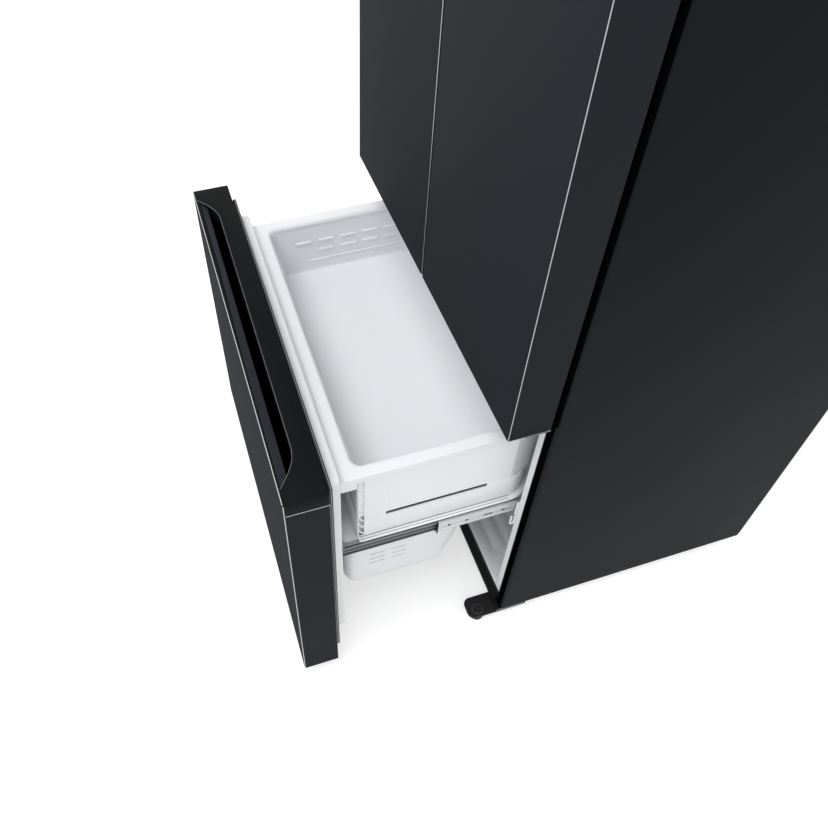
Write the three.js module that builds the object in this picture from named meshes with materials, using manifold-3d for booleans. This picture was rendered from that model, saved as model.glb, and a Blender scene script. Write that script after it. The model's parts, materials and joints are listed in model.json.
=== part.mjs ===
// A French-door refrigerator with a bottom freezer drawer, in millimetres, +Z up, the doors facing -Y.
// It stands with its doors shut and its freezer drawer pulled out. Every piece is drawn where it is on
// the shut appliance: x across, y the depth behind the shut doors' fronts, z the height over the floor.
// Groups then carry the whole set to the origin, and the drawer's pieces out to where it stands open.
import * as THREE from 'three';
import { mergeVertices } from 'three/addons/utils/BufferGeometryUtils.js';
import Module from 'manifold-3d';

const wasm = await Module();
wasm.setup();

// ---- driving dimensions ----
const WIDTH = 817;
const DEPTH = 725; // from the shut doors' fronts to the cabinet's back
const CABINET_TOP = 1748;
const CABINET_BOTTOM = 32;
const FLANGE = 88; // depth of the cabinet's front plane
const DOOR_THICK = 77;
const DOOR_BOTTOM = 752;
const DOOR_TOP = 1745;
const DRAWER_BOTTOM = 40;
const DRAWER_TOP = 738;
const DRAWER_OPEN = 380; // how far the drawer stands out
const SEAM = 4; // between the two doors
const SHEET = 1.5; // painted steel and liner plastic
const FIT = 0.3; // between pieces that touch

const HALF = WIDTH / 2;
const STEEL_IN = HALF - SHEET; // inside of the cabinet's side sheet
const FLANGE_WIDTH = 23; // painted front flange
const LIP_HALF = HALF - FLANGE_WIDTH; // outer edge of the liners' front lips
const LIP_SPAN = [-LIP_HALF + FIT, LIP_HALF - FIT];
const ROOM_HALF = LIP_HALF - 17; // inside of both compartments
const ROOM_BACK = 655;
const FRIDGE_FLOOR = 785;
const FRIDGE_CEILING = 1708;
const FREEZER_FLOOR = 78;
const FREEZER_CEILING = 705;
const LIP_LOW = 76.3; // lower edge of the freezer liner's front lip
const MULLION_LOW = 722.3; // steel strip between the compartments
const MULLION_HIGH = 767.7;
const HUMP_FOOT = 400; // where the freezer floor starts to climb over the machine room
const HUMP_TOP_START = 440;
const HUMP_TOP = 340;
const MACHINE_ROOM_TOP = 292;
const COVER_LOW = 44; // lower edge of the machine room's cover
const BACK_SHEET = DEPTH - SHEET - FIT; // front of the rear panel's gap
const HINGE = { x: 385, y: 44, pin: 5, hole: 6 };
const GASKET = { inset: 22, width: 12, start: DOOR_THICK + 0.6, end: FLANGE - 0.4 };

// ---- materials ----
const finish = (color, roughness, metalness) =>
  new THREE.MeshStandardMaterial({ color, roughness, metalness });
const graphite = finish(0x3b3e42, 0.42, 0.55);
const cabinetPaint = finish(0x2c2e30, 0.5, 0.3);
const blackPlastic = finish(0x1c1d1f, 0.5, 0);
const whitePlastic = finish(0xf1f2f4, 0.35, 0);
const clearPlastic = finish(0xe4ecf0, 0.12, 0);
const foamYellow = finish(0xe6d9a6, 0.9, 0);
const zinc = finish(0xb9bcc0, 0.35, 0.9);
const darkSteel = finish(0x2a2b2d, 0.45, 0.7);
const rubberGrey = finish(0x6c6f73, 0.7, 0);
const glass = finish(0xd9ece8, 0.05, 0);
const compressorBlack = finish(0x17181a, 0.4, 0.4);
const rearSteel = finish(0x8f9296, 0.5, 0.6);

// ---- shapes ----
const span = (a, b) => [Math.min(a, b), Math.max(a, b)];

// Turns the faces of a closed shape outwards, by the sign of its volume.
function faceOut(geometry) {
  const p = geometry.attributes.position;
  const index = geometry.index.array;
  let volume = 0;
  const corner = [0, 1, 2].map(() => new THREE.Vector3());
  for (let i = 0; i < index.length; i += 3) {
    corner.forEach((v, k) => v.fromBufferAttribute(p, index[i + k]));
    volume += corner[0].dot(corner[1].cross(corner[2]));
  }
  if (volume < 0) {
    for (let i = 0; i < index.length; i += 3) [index[i], index[i + 1]] = [index[i + 1], index[i]];
  }
  return geometry;
}

// Keeps only positions, with equal corners shared.
function plain(geometry) {
  const bare = geometry.clone();
  bare.deleteAttribute('normal');
  bare.deleteAttribute('uv');
  return mergeVertices(bare, 1e-4);
}

function fromFaces(points, faces) {
  const geometry = new THREE.BufferGeometry();
  geometry.setAttribute('position', new THREE.Float32BufferAttribute(points.flat(), 3));
  geometry.setIndex(faces.flat());
  return faceOut(geometry);
}

function box([x0, x1], [y0, y1], [z0, z1]) {
  const geometry = new THREE.BoxGeometry(x1 - x0, y1 - y0, z1 - z0);
  return geometry.translate((x0 + x1) / 2, (y0 + y1) / 2, (z0 + z1) / 2);
}

function extruded(outline, length) {
  const shape = new THREE.Shape(outline.map(([a, b]) => new THREE.Vector2(a, b)));
  return new THREE.ExtrudeGeometry(shape, { depth: length, bevelEnabled: false });
}

const extrudeZ = (outline, [z0, z1]) => extruded(outline, z1 - z0).translate(0, 0, z0);

// An outline of (y, z) carried along x.
function extrudeX(outline, [x0, x1]) {
  const turn = new THREE.Matrix4().set(0, 0, 1, x0, 1, 0, 0, 0, 0, 1, 0, 0, 0, 0, 0, 1);
  return extruded(outline, x1 - x0).applyMatrix4(turn);
}

function cylinderZ(x, y, radius, [z0, z1], sides = 20) {
  return new THREE.CylinderGeometry(radius, radius, z1 - z0, sides)
    .rotateX(Math.PI / 2)
    .translate(x, y, (z0 + z1) / 2);
}

function cylinderX([x0, x1], y, z, radius, sides = 24) {
  return new THREE.CylinderGeometry(radius, radius, x1 - x0, sides)
    .rotateZ(Math.PI / 2)
    .translate((x0 + x1) / 2, y, z);
}

function cylinderY(x, [y0, y1], z, radius, sides = 24) {
  return new THREE.CylinderGeometry(radius, radius, y1 - y0, sides).translate(x, (y0 + y1) / 2, z);
}

function arc(cx, cy, radius, from, to, steps) {
  return Array.from({ length: steps + 1 }, (_, i) => {
    const angle = THREE.MathUtils.degToRad(from + ((to - from) * i) / steps);
    return [cx + radius * Math.cos(angle), cy + radius * Math.sin(angle)];
  });
}

// The corners of a rectangle, each with the direction that an inset takes there.
// Sharp corners are mitred, and round ones are arcs of a few steps. The corners at b0 can have a radius of
// their own.
function frameCorners([a0, a1], [b0, b1], radius = 0, steps = 4, first = radius) {
  const corners = [
    [a0, b0, 180],
    [a1, b0, 270],
    [a1, b1, 0],
    [a0, b1, 90],
  ];
  return corners.flatMap(([a, b, from]) => {
    const inA = a === a0 ? 1 : -1;
    const inB = b === b0 ? 1 : -1;
    const round = b === b0 ? first : radius;
    if (!round) return [{ a, b, inA, inB }];
    return arc(0, 0, 1, from, from + 90, steps).map(([u, v]) => ({
      a: a + (inA + u) * round,
      b: b + (inB + v) * round,
      inA: -u,
      inB: -v,
    }));
  });
}

// A closed profile of (inset, depth) carried round a path of corners that lie in the x-z plane.
// An open path gets end faces.
function sweepFrame(path, profile, closed = true) {
  const points = path.flatMap((c) =>
    profile.map(([inset, y]) => [c.a + c.inA * inset, y, c.b + c.inB * inset]),
  );
  const n = profile.length;
  const faces = [];
  const spans = closed ? path.length : path.length - 1;
  for (let i = 0; i < spans; i += 1) {
    const here = i * n;
    const next = ((i + 1) % path.length) * n;
    for (let k = 0; k < n; k += 1) {
      const l = (k + 1) % n;
      faces.push([here + k, next + k, next + l], [here + k, next + l, here + l]);
    }
  }
  if (!closed) {
    const outline = profile.map(([a, b]) => new THREE.Vector2(a, b));
    const last = (path.length - 1) * n;
    const turned = THREE.ShapeUtils.isClockWise(outline);
    THREE.ShapeUtils.triangulateShape(outline, []).forEach(([a, b, c]) => {
      faces.push(turned ? [a, c, b] : [a, b, c]);
      faces.push(turned ? [last + a, last + b, last + c] : [last + a, last + c, last + b]);
    });
  }
  return fromFaces(points, faces);
}

// Rings of points of one count, joined by walls and capped at both ends.
function loft(rings) {
  const n = rings[0].length;
  const faces = [];
  for (let level = 0; level < rings.length - 1; level += 1) {
    for (let k = 0; k < n; k += 1) {
      const l = (k + 1) % n;
      const low = level * n;
      faces.push([low + k, low + l, low + n + l], [low + k, low + n + l, low + n + k]);
    }
  }
  const top = (rings.length - 1) * n;
  for (let k = 1; k < n - 1; k += 1) faces.push([0, k + 1, k], [top, top + k, top + k + 1]);
  return fromFaces(rings.flat(), faces);
}

// Rounded rectangles stacked up z. `front` is the radius of the two corners nearest to the doors, where it
// isn't `r`.
function stack(sections, steps = 4) {
  const corners = ({ x, y, r, front }) => frameCorners(x, y, r, steps, front);
  return loft(sections.map((row) => corners(row).map((c) => [c.a, c.b, row.z])));
}

// ---- joins and cuts ----
function solid(geometry) {
  const g = plain(geometry);
  const mesh = new wasm.Mesh({
    numProp: 3,
    vertProperties: new Float32Array(g.attributes.position.array),
    triVerts: new Uint32Array(g.index.array),
  });
  return new wasm.Manifold(mesh);
}

function shape(manifold) {
  const mesh = manifold.getMesh();
  const geometry = new THREE.BufferGeometry();
  geometry.setAttribute('position', new THREE.Float32BufferAttribute(mesh.vertProperties, 3));
  geometry.setIndex(Array.from(mesh.triVerts));
  return geometry;
}

const join = (...pieces) => shape(pieces.map(solid).reduce((all, next) => all.add(next)));
const without = (left, tool) => left.subtract(solid(tool));
const cut = (piece, ...tools) => shape(tools.reduce(without, solid(piece)));

// ---- placing ----
const appliance = new THREE.Group();
appliance.position.y = (DRAWER_OPEN - DEPTH) / 2;

function add(group, name, geometry, material) {
  const mesh = new THREE.Mesh(geometry, material);
  mesh.name = name;
  if (group.userData.pivot) mesh.position.copy(group.userData.pivot).negate();
  group.add(mesh);
}

function pivotGroup(x, y) {
  const group = new THREE.Group();
  group.position.set(x, y, 0);
  group.userData.pivot = group.position;
  appliance.add(group);
  return group;
}

const SIDES = [
  ['left', -1],
  ['right', 1],
];
const both = (make) => SIDES.forEach(([side, sign]) => make(side, sign));
const across = (sign, a, b) => span(sign * a, sign * b);

// ---- cabinet: skin, foam and liners ----
function cabinetWrapper() {
  const edge = 8;
  const path = [
    { a: -HALF, b: CABINET_BOTTOM, inA: 1, inB: 0 },
    { a: -HALF, b: CABINET_TOP, inA: 1, inB: -1 },
    { a: HALF, b: CABINET_TOP, inA: -1, inB: -1 },
    { a: HALF, b: CABINET_BOTTOM, inA: -1, inB: 0 },
  ];
  const outer = arc(edge, FLANGE + edge, edge, 180, 270, 4);
  const inner = arc(edge, FLANGE + edge, edge - SHEET, 270, 180, 4);
  const profile = [
    [0, BACK_SHEET],
    ...outer,
    [FLANGE_WIDTH, FLANGE],
    [FLANGE_WIDTH, FLANGE + SHEET],
    ...inner,
    [SHEET, BACK_SHEET],
  ];
  return sweepFrame(path, profile, false);
}

// Where the power cord leaves the machine room.
const GLAND = { x: -300, z: 90, radius: 12, bore: 4.5, reach: 12 };

function rearPanel() {
  return box([-HALF, HALF], [DEPTH - SHEET, DEPTH], [MACHINE_ROOM_TOP, CABINET_TOP]);
}

function machineRoomCover() {
  const slots = [];
  const slot = { half: 31, height: 6, low: 130, pitchX: 84, pitchZ: 16, columns: 6, rows: 6 };
  const through = [DEPTH - 5, DEPTH + 5];
  for (let i = 0; i < slot.columns; i += 1) {
    for (let k = 0; k < slot.rows; k += 1) {
      const x = (i - (slot.columns - 1) / 2) * slot.pitchX;
      const z = slot.low + k * slot.pitchZ;
      slots.push(box([x - slot.half, x + slot.half], through, [z, z + slot.height]));
    }
  }
  const plate = box([-HALF, HALF], [DEPTH - SHEET, DEPTH], [COVER_LOW, MACHINE_ROOM_TOP - FIT]);
  const { x, z, radius, bore, reach } = GLAND;
  const collar = cylinderY(x, [DEPTH - reach, DEPTH], z, radius);
  return cut(join(plate, collar), ...slots, cylinderY(x, [DEPTH - reach - 5, DEPTH + 5], z, bore));
}

// Outline of the freezer room in (depth, height), grown outwards by `grow`.
function freezerRoomOutline(grow) {
  return [
    [FLANGE, FREEZER_FLOOR - grow],
    [HUMP_FOOT + grow, FREEZER_FLOOR - grow],
    [HUMP_TOP_START + grow, HUMP_TOP - grow],
    [ROOM_BACK + grow, HUMP_TOP - grow],
    [ROOM_BACK + grow, FREEZER_CEILING + grow],
    [FLANGE, FREEZER_CEILING + grow],
  ];
}

function freezerLiner() {
  const reach = 20; // the cutting tool comes out past the lip
  const room = freezerRoomOutline(0).map(([y, z]) => [y === FLANGE ? y - reach : y, z]);
  const skin = extrudeX(freezerRoomOutline(SHEET), [-ROOM_HALF - SHEET, ROOM_HALF + SHEET]);
  const lip = box(LIP_SPAN, [FLANGE, FLANGE + SHEET], [LIP_LOW, MULLION_LOW - FIT]);
  return cut(join(skin, lip), extrudeX(room, [-ROOM_HALF, ROOM_HALF]));
}

const SHELVES = { crisper_cover: 1104, shelf_lower: 1300, shelf_upper: 1500 };
const SHELF = { half: 366, front: 200, back: 612, thick: 5, corner: 6 };
const LEDGE = { reach: 10, thick: 8.7 }; // ledges on the liner that carry the shelves

function fridgeLiner() {
  const skin = box(
    [-ROOM_HALF - SHEET, ROOM_HALF + SHEET],
    [FLANGE, ROOM_BACK + SHEET],
    [FRIDGE_FLOOR - SHEET, FRIDGE_CEILING + SHEET],
  );
  const top = CABINET_TOP - FLANGE_WIDTH - FIT;
  const lip = box(LIP_SPAN, [FLANGE, FLANGE + SHEET], [MULLION_HIGH + FIT, top]);
  const room = box([-ROOM_HALF, ROOM_HALF], [FLANGE - 20, ROOM_BACK], [FRIDGE_FLOOR, FRIDGE_CEILING]);
  const ledges = [];
  const along = [SHELF.front, SHELF.back];
  Object.values(SHELVES).forEach((z) =>
    both((side, sign) => {
      const x = across(sign, ROOM_HALF - LEDGE.reach, ROOM_HALF + 1);
      ledges.push(box(x, along, [z - FIT - LEDGE.thick, z - FIT]));
    }),
  );
  return join(cut(join(skin, lip), room), ...ledges);
}

const MACHINE_ROOM = { front: 450, slant: 488 }; // its slanted front's foot and top
const FOAM_LOW = CABINET_BOTTOM + FIT;
const FOAM_TOP = CABINET_TOP - SHEET - FIT;
const EDGE_FRONT = FLANGE + 10; // leaves room for the flange's rounded edge

function foamSides(sign) {
  const x = across(sign, ROOM_HALF + SHEET + FIT, STEEL_IN - FIT);
  return box(x, [EDGE_FRONT, BACK_SHEET], [FOAM_LOW, FOAM_TOP]);
}

const BETWEEN = [-ROOM_HALF - SHEET, ROOM_HALF + SHEET]; // from one side foam to the other
const FOAM_FRONT = FLANGE + SHEET + FIT;
const FOAM_BACK = ROOM_BACK + SHEET + FIT;

const foamTop = () =>
  box(BETWEEN, [EDGE_FRONT, FOAM_BACK - FIT], [FRIDGE_CEILING + SHEET + FIT, FOAM_TOP]);
const foamBack = () => box(BETWEEN, [FOAM_BACK, BACK_SHEET], [MACHINE_ROOM_TOP + FIT, FOAM_TOP]);
const foamMullion = () =>
  box(
    BETWEEN,
    [FOAM_FRONT, FOAM_BACK - FIT],
    [FREEZER_CEILING + SHEET + FIT, FRIDGE_FLOOR - SHEET - FIT],
  );

const TOE = { foot: 77, kick: 41, bend: 60, top: 75.7, back: 91 };

function foamFloor() {
  const under = SHEET + FIT;
  const outline = [
    [TOE.back + FIT, FOAM_LOW],
    [MACHINE_ROOM.front, FOAM_LOW],
    [MACHINE_ROOM.slant, MACHINE_ROOM_TOP],
    [FOAM_BACK - FIT, MACHINE_ROOM_TOP],
    [FOAM_BACK - FIT, HUMP_TOP - under],
    [HUMP_TOP_START + 2 * under, HUMP_TOP - under],
    [HUMP_FOOT + under, FREEZER_FLOOR - under],
    [TOE.back + FIT, FREEZER_FLOOR - under],
  ];
  return extrudeX(outline, BETWEEN);
}

const mullionPlate = () =>
  box(LIP_SPAN, [FLANGE, FLANGE + SHEET], [MULLION_LOW, MULLION_HIGH]);

function toeBar() {
  const outline = [
    [TOE.foot, FOAM_LOW],
    [TOE.foot, TOE.kick],
    [FLANGE, TOE.bend],
    [FLANGE, TOE.top],
    [TOE.back, TOE.top],
    [TOE.back, FOAM_LOW],
  ];
  return extrudeX(outline, LIP_SPAN);
}

// ---- cabinet: machine room and feet ----
const ROLLER = { x: 330, y: 690, radius: 17, width: 26, axle: 4, bore: 4.6 };
const FORK = { half: 15, plate: 3, reach: 12, low: 8 }; // the two plates that hold a roller
const PAN = { front: 470, low: 36.3, thick: 3 };

function basePan() {
  const plate = box([-ROOM_HALF, ROOM_HALF], [PAN.front, BACK_SHEET], [PAN.low, PAN.low + PAN.thick]);
  const parts = [plate];
  both((side, sign) => {
    const centre = sign * ROLLER.x;
    [-FORK.half - FORK.plate, FORK.half].forEach((offset) => {
      const x = [centre + offset, centre + offset + FORK.plate];
      parts.push(box(x, [ROLLER.y - FORK.reach, ROLLER.y + FORK.reach], [FORK.low, PAN.low + 1]));
    });
    const axle = [centre - FORK.half - FORK.plate, centre + FORK.half + FORK.plate];
    parts.push(cylinderX(axle, ROLLER.y, ROLLER.radius, ROLLER.axle));
  });
  return join(...parts);
}

function rearRoller(sign) {
  const x = [sign * ROLLER.x - ROLLER.width / 2, sign * ROLLER.x + ROLLER.width / 2];
  const wheel = cylinderX(x, ROLLER.y, ROLLER.radius, ROLLER.radius, 32);
  const bore = cylinderX([x[0] - 1, x[1] + 1], ROLLER.y, ROLLER.radius, ROLLER.bore);
  return cut(wheel, bore);
}

const COMPRESSOR = { x: 160, y: 606, radius: 76, plate: [80, 46], feet: [65, 32], foot: 11 };

function compressor() {
  const { x, y, radius, plate, feet, foot } = COMPRESSOR;
  const low = PAN.low + PAN.thick + FIT;
  const profile = [
    [0, low + 14],
    [52, low + 14],
    [70, low + 24],
    [radius, low + 42],
    [radius, low + 104],
    [68, low + 130],
    [42, low + 148],
    [0, low + 154],
  ].map(([r, z]) => new THREE.Vector2(r, z));
  const shell = new THREE.LatheGeometry(profile, 24).rotateX(Math.PI / 2);
  shell.translate(x, y, 0);
  const base = box([x - plate[0], x + plate[0]], [y - plate[1], y + plate[1]], [low + 10, low + 16]);
  const corners = [-1, 1].flatMap((u) => [-1, 1].map((v) => [x + u * feet[0], y + v * feet[1]]));
  const pads = corners.map(([u, v]) => cylinderZ(u, v, foot, [low, low + 12], 16));
  return join(shell, base, ...pads);
}

// A plate in front of the toe bar with a nut for the foot, folded up under the cabinet's corner.
const LEG = { inner: 357, outer: 407.5, front: 14, back: 153, low: 18, thick: 4, wall: 3, nose: 16 };
const FOOT = { x: 389, y: 39, hole: 6.8, pad: 17, padTop: 8, hex: 10, hexTop: 15, stem: 6, top: 34 };

function frontLeg(sign) {
  const r = LEG.nose;
  const top = LEG.low + LEG.thick;
  const plan = [
    [LEG.inner, LEG.back],
    ...arc(LEG.inner + r, LEG.front + r, r, 180, 270, 4),
    ...arc(LEG.outer - r, LEG.front + r, r, 270, 360, 4),
    [LEG.outer, LEG.back],
  ].map(([x, y]) => [sign * x, y]);
  const under = [TOE.foot + 2, LEG.back];
  const upright = [top - 1, CABINET_BOTTOM - FIT];
  const x = [LEG.inner, LEG.outer];
  const fold = box(across(sign, ...x), [under[0], under[0] + LEG.wall], upright);
  const walls = [
    [x[0], x[0] + LEG.wall],
    [x[1] - LEG.wall, x[1]],
  ].map((wall) => box(across(sign, ...wall), under, upright));
  const hole = cylinderZ(sign * FOOT.x, FOOT.y, FOOT.hole, [LEG.low - 5, top + 5], 20);
  return cut(join(extrudeZ(plan, [LEG.low, top]), fold, ...walls), hole);
}

function levelingFoot(sign) {
  const { y, pad, padTop, hex, hexTop, stem, top } = FOOT;
  const x = sign * FOOT.x;
  const collar = cylinderZ(x, y, hex, [padTop - 1, hexTop], 6);
  return join(cylinderZ(x, y, pad, [0, padTop], 24), collar, cylinderZ(x, y, stem, [hexTop - 1, top], 20));
}

// ---- hinges ----
const TOP_HINGE = { x: [352, 400], y: [28, 168], thick: 4 };
const HINGE_COVER = { inner: 340, y: [14, 184], shoulder: 18, height: 27.5, r: 12 };

function topHinge(sign) {
  const { x, y, thick } = TOP_HINGE;
  const plate = box(across(sign, ...x), y, [CABINET_TOP + FIT, CABINET_TOP + thick]);
  return join(plate, cylinderZ(sign * HINGE.x, HINGE.y, HINGE.pin, [DOOR_TOP - 23, CABINET_TOP + 2]));
}

function hingeCover(sign) {
  const low = CABINET_TOP + FIT;
  const { inner, y, shoulder, height, r } = HINGE_COVER;
  const ring = (inset, up) => ({
    x: across(sign, inner + inset, HALF - 0.5 - inset),
    y: [y[0] + inset, y[1] - inset],
    z: low + up,
    r: r - inset,
  });
  const room = [TOP_HINGE.x, TOP_HINGE.y].map(([a, b]) => [a - 1, b + 1]);
  const hollow = box(across(sign, ...room[0]), room[1], [low - 5, low + TOP_HINGE.thick]);
  return cut(stack([ring(0, 0), ring(0, shoulder), ring(4, height)]), hollow);
}

const MIDDLE_HINGE = {
  plate: { x: [360, 405], front: 29, z: [743, 747] },
  foot: { x: [345, 384], z: [728, 762], thick: 3 },
  back: FLANGE - FIT,
  washer: 9,
};

function middleHinge(sign) {
  const { plate, foot, back, washer } = MIDDLE_HINGE;
  const root = plate.z[1] - 1;
  const pin = (radius, top) => cylinderZ(sign * HINGE.x, HINGE.y, radius, [root, top]);
  return join(
    box(across(sign, ...plate.x), [plate.front, back], plate.z),
    box(across(sign, ...foot.x), [back - foot.thick, back], foot.z),
    pin(washer, DOOR_BOTTOM - FIT),
    pin(HINGE.pin, DOOR_BOTTOM + 23),
  );
}

// ---- inside the compartments ----
function shelf(low) {
  const plan = { x: [-SHELF.half, SHELF.half], y: [SHELF.front, SHELF.back], r: SHELF.corner };
  const levels = [low, low + SHELF.thick];
  return stack(
    levels.map((z) => ({ ...plan, z })),
    2,
  );
}

// An open-topped tub: an outer stack less an inner one that leaves the wall and the floor.
function tub(sections, wall) {
  const shrink = (s, z) => ({
    x: [s.x[0] + wall, s.x[1] - wall],
    y: [s.y[0] + wall, s.y[1] - wall],
    z,
    r: Math.max(s.r - wall, 1),
  });
  const inner = sections.map((s, i) => shrink(s, i ? s.z : s.z + wall));
  const last = sections[sections.length - 1];
  inner.push(shrink(last, last.z + 5));
  return cut(stack(sections), stack(inner));
}

function crisper(sign) {
  return tub(
    [
      { x: across(sign, 14, 352), y: [186, 590], z: FRIDGE_FLOOR + 4, r: 20 },
      { x: across(sign, 8, 357), y: [178, 598], z: SHELVES.crisper_cover - 26, r: 20 },
    ],
    3,
  );
}

const airDuct = () => box([-90, 90], [SHELF.back + 10, ROOM_BACK - FIT], [1125, 1690]);
const evaporatorCover = () => box([-352, 352], [600, ROOM_BACK - FIT], [HUMP_TOP + FIT, 698]);

// ---- drawer slides: three members, each a channel ----
const RAIL = { front: 111, length: 450, travel: DRAWER_OPEN / 2, thick: SHEET, bolt: 346 };
const CHANNELS = {
  outer: { web: [366.6, 368.2], lips: 357, z: [407.5, 448] },
  middle: { web: [361.6, 363.2], lips: 356.5, z: [411, 444.5] },
  inner: { web: [353.4, 354.9], lips: 359, z: [414, 441.5] },
};

function channel(sign, { web, lips, z }, y) {
  const [z0, z1] = z;
  const flanges = [
    [z0, z0 + RAIL.thick],
    [z1 - RAIL.thick, z1],
  ].map((at) => box(across(sign, lips, web[0] < lips ? web[0] : web[1]), y, at));
  return join(box(across(sign, ...web), y, z), ...flanges);
}

const railSpan = (shift = 0) => [RAIL.front + shift, RAIL.front + shift + RAIL.length];

// The inner member is bolted to the back of the drawer's raised panel.
function innerRail(sign) {
  const { web, z } = CHANNELS.inner;
  const start = BULGE.depth + FIT;
  const arm = box(across(sign, ...web), [start, RAIL.front + 1], z);
  const foot = box(across(sign, RAIL.bolt, web[1]), [start, start + RAIL.thick], z);
  return join(channel(sign, CHANNELS.inner, railSpan()), arm, foot);
}

// ---- doors ----
const DYKE = { seam: 60, hinge: 350, low: 797, high: 1697, width: 32, depth: 138, wall: 2 };
const GRIP = { seam: 72, hinge: 328, front: 15, back: 51, high: 28, wall: SHEET };
const BINS = { bin_lower: 850, bin_middle: 1200 };

// Plan of a front panel, its two front corners rounded, out to the inset `inset` of its edges.
function panelPlan([x0, x1], inset, back) {
  const r = Math.max(4 - inset, 1);
  return [
    [x0 + inset, back],
    ...arc(x0 + inset + r, inset + r, r, 180, 270, 3),
    ...arc(x1 - inset - r, inset + r, r, 270, 360, 3),
    [x1 - inset, back],
  ];
}

const doorSpan = (sign) => across(sign, SEAM / 2, HALF);

function gripBox(sign, grow) {
  const x = across(sign, GRIP.seam - grow, GRIP.hinge + grow);
  return box(x, [GRIP.front - grow, GRIP.back + grow], [DOOR_BOTTOM - 5, DOOR_BOTTOM + GRIP.high + grow]);
}

function pinHoles(sign) {
  const depth = 26;
  return [
    [DOOR_BOTTOM - 5, DOOR_BOTTOM + depth],
    [DOOR_TOP - depth, DOOR_TOP + 5],
  ].map((z) => cylinderZ(sign * HINGE.x, HINGE.y, HINGE.hole, z));
}

function doorSkin(sign) {
  const x = doorSpan(sign);
  const outer = extrudeZ(panelPlan(x, 0, DOOR_THICK), [DOOR_BOTTOM, DOOR_TOP]);
  const inner = extrudeZ(panelPlan(x, SHEET, DOOR_THICK + 5), [DOOR_BOTTOM + SHEET, DOOR_TOP - SHEET]);
  return cut(outer, cut(inner, gripBox(sign, GRIP.wall)), gripBox(sign, 0), ...pinHoles(sign));
}

function dykeRing(sign, inset, [y0, y1]) {
  const x = across(sign, DYKE.seam + inset, DYKE.hinge - inset);
  const path = frameCorners(x, [DYKE.low + inset, DYKE.high - inset]);
  const width = DYKE.width - 2 * inset;
  return sweepFrame(path, [
    [0, y0],
    [0, y1],
    [width, y1],
    [width, y0],
  ]);
}

function doorFoam(sign) {
  const x = doorSpan(sign);
  const slab = extrudeZ(
    panelPlan(x, SHEET + FIT, DOOR_THICK - SHEET - 2 * FIT),
    [DOOR_BOTTOM + SHEET + FIT, DOOR_TOP - SHEET - FIT],
  );
  const filled = dykeRing(sign, DYKE.wall + FIT, [DOOR_THICK - 5, DYKE.depth - DYKE.wall - FIT]);
  return cut(join(slab, filled), gripBox(sign, GRIP.wall + FIT), ...pinHoles(sign));
}

const FLIP = { x: -44, y: 98, radius: 9, reach: 78, low: 800, high: 1692 };

function doorLiner(sign) {
  const [x0, x1] = doorSpan(sign);
  const edge = SHEET + FIT;
  const plate = box(
    [x0 + edge, x1 - edge],
    [DOOR_THICK - SHEET, DOOR_THICK],
    [DOOR_BOTTOM + edge, DOOR_TOP - edge],
  );
  const parts = [plate, dykeRing(sign, 0, [DOOR_THICK - 1, DYKE.depth])];
  if (sign < 0) {
    const post = (z) => box([FLIP.x - 6.5, FLIP.x + 6.5], [DOOR_THICK - 1, FLIP.y + FLIP.radius], z);
    parts.push(post([FLIP.low - 11, FLIP.low - FIT]), post([FLIP.high + FIT, FLIP.high + 11]));
  }
  return cut(join(...parts), dykeRing(sign, DYKE.wall, [DOOR_THICK - 5, DYKE.depth - DYKE.wall]));
}

function gasketRing(x, z) {
  const { inset, width, start, end } = GASKET;
  const path = frameCorners([x[0] + inset, x[1] - inset], [z[0] + inset, z[1] - inset]);
  return sweepFrame(path, [
    [0, start],
    [2, start + 3],
    [0, start + 6],
    [0, end],
    [width, end],
    [width, start + 6],
    [width - 2, start + 3],
    [width, start],
  ]);
}

function doorBin(sign, z) {
  const off = DYKE.width + 0.5; // just inside the liner's raised ring
  const x = (inset) => across(sign, DYKE.seam + off + inset, DYKE.hinge - off - inset);
  return tub(
    [
      { x: x(4), y: [DOOR_THICK + 1, 160], z, r: 14 },
      { x: x(0), y: [DOOR_THICK + 1, 168], z: z + 112, r: 14 },
    ],
    2.5,
  );
}

// The centre post: folded back at rest, with a round end on its own pivot.
function flipMullion() {
  const { x, y, radius, reach, low, high } = FLIP;
  const plan = [...arc(x, y, radius, 180, 360, 8), [x + radius, y + reach], [x - radius, y + reach]];
  return extrudeZ(plan, [low, high]);
}

// ---- freezer drawer ----
const CAP = { low: 707, wall: 2, floor: 694 };
const POCKET = {
  mouth: [374, 5], // the corner at the front of its mouth, and of the slot under it
  slot: [358.5, 15.5],
  rear: [
    [352, 22],
    [331, 34],
    [305, 40],
  ],
  ledge: 722,
};
const BULGE = { half: 364, low: 95, high: 690, depth: 108, wall: 2, draft: 2, corner: 14 };

// Plan of the pocket grip in the drawer's top, with its ends drawn in, from the corner at its front.
// Grown, that corner spreads three times as far as the rest, so that the slanted ends keep their wall.
function pocketPlan([x0, y0], grow = 0) {
  const rear = POCKET.rear.map(([x, y]) => [x + grow, y + grow]);
  const half = [[x0 + 3 * grow, y0 - grow], ...rear];
  return [...half, ...half.map(([x, y]) => [-x, y]).reverse()];
}

const pocketSlot = (grow, z) => extrudeZ(pocketPlan(POCKET.slot, grow), z);

// The room for the fingers: a slot, with a ledge before it that slopes up to the front.
function pocketRoom() {
  const at = (plan, z) => plan.map(([x, y]) => [x, y, z]);
  const slot = pocketPlan(POCKET.slot);
  const mouth = pocketPlan(POCKET.mouth);
  const low = CAP.floor + CAP.wall + 1;
  return loft([at(slot, low), at(slot, POCKET.ledge), at(mouth, DRAWER_TOP), at(mouth, DRAWER_TOP + 5)]);
}

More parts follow.
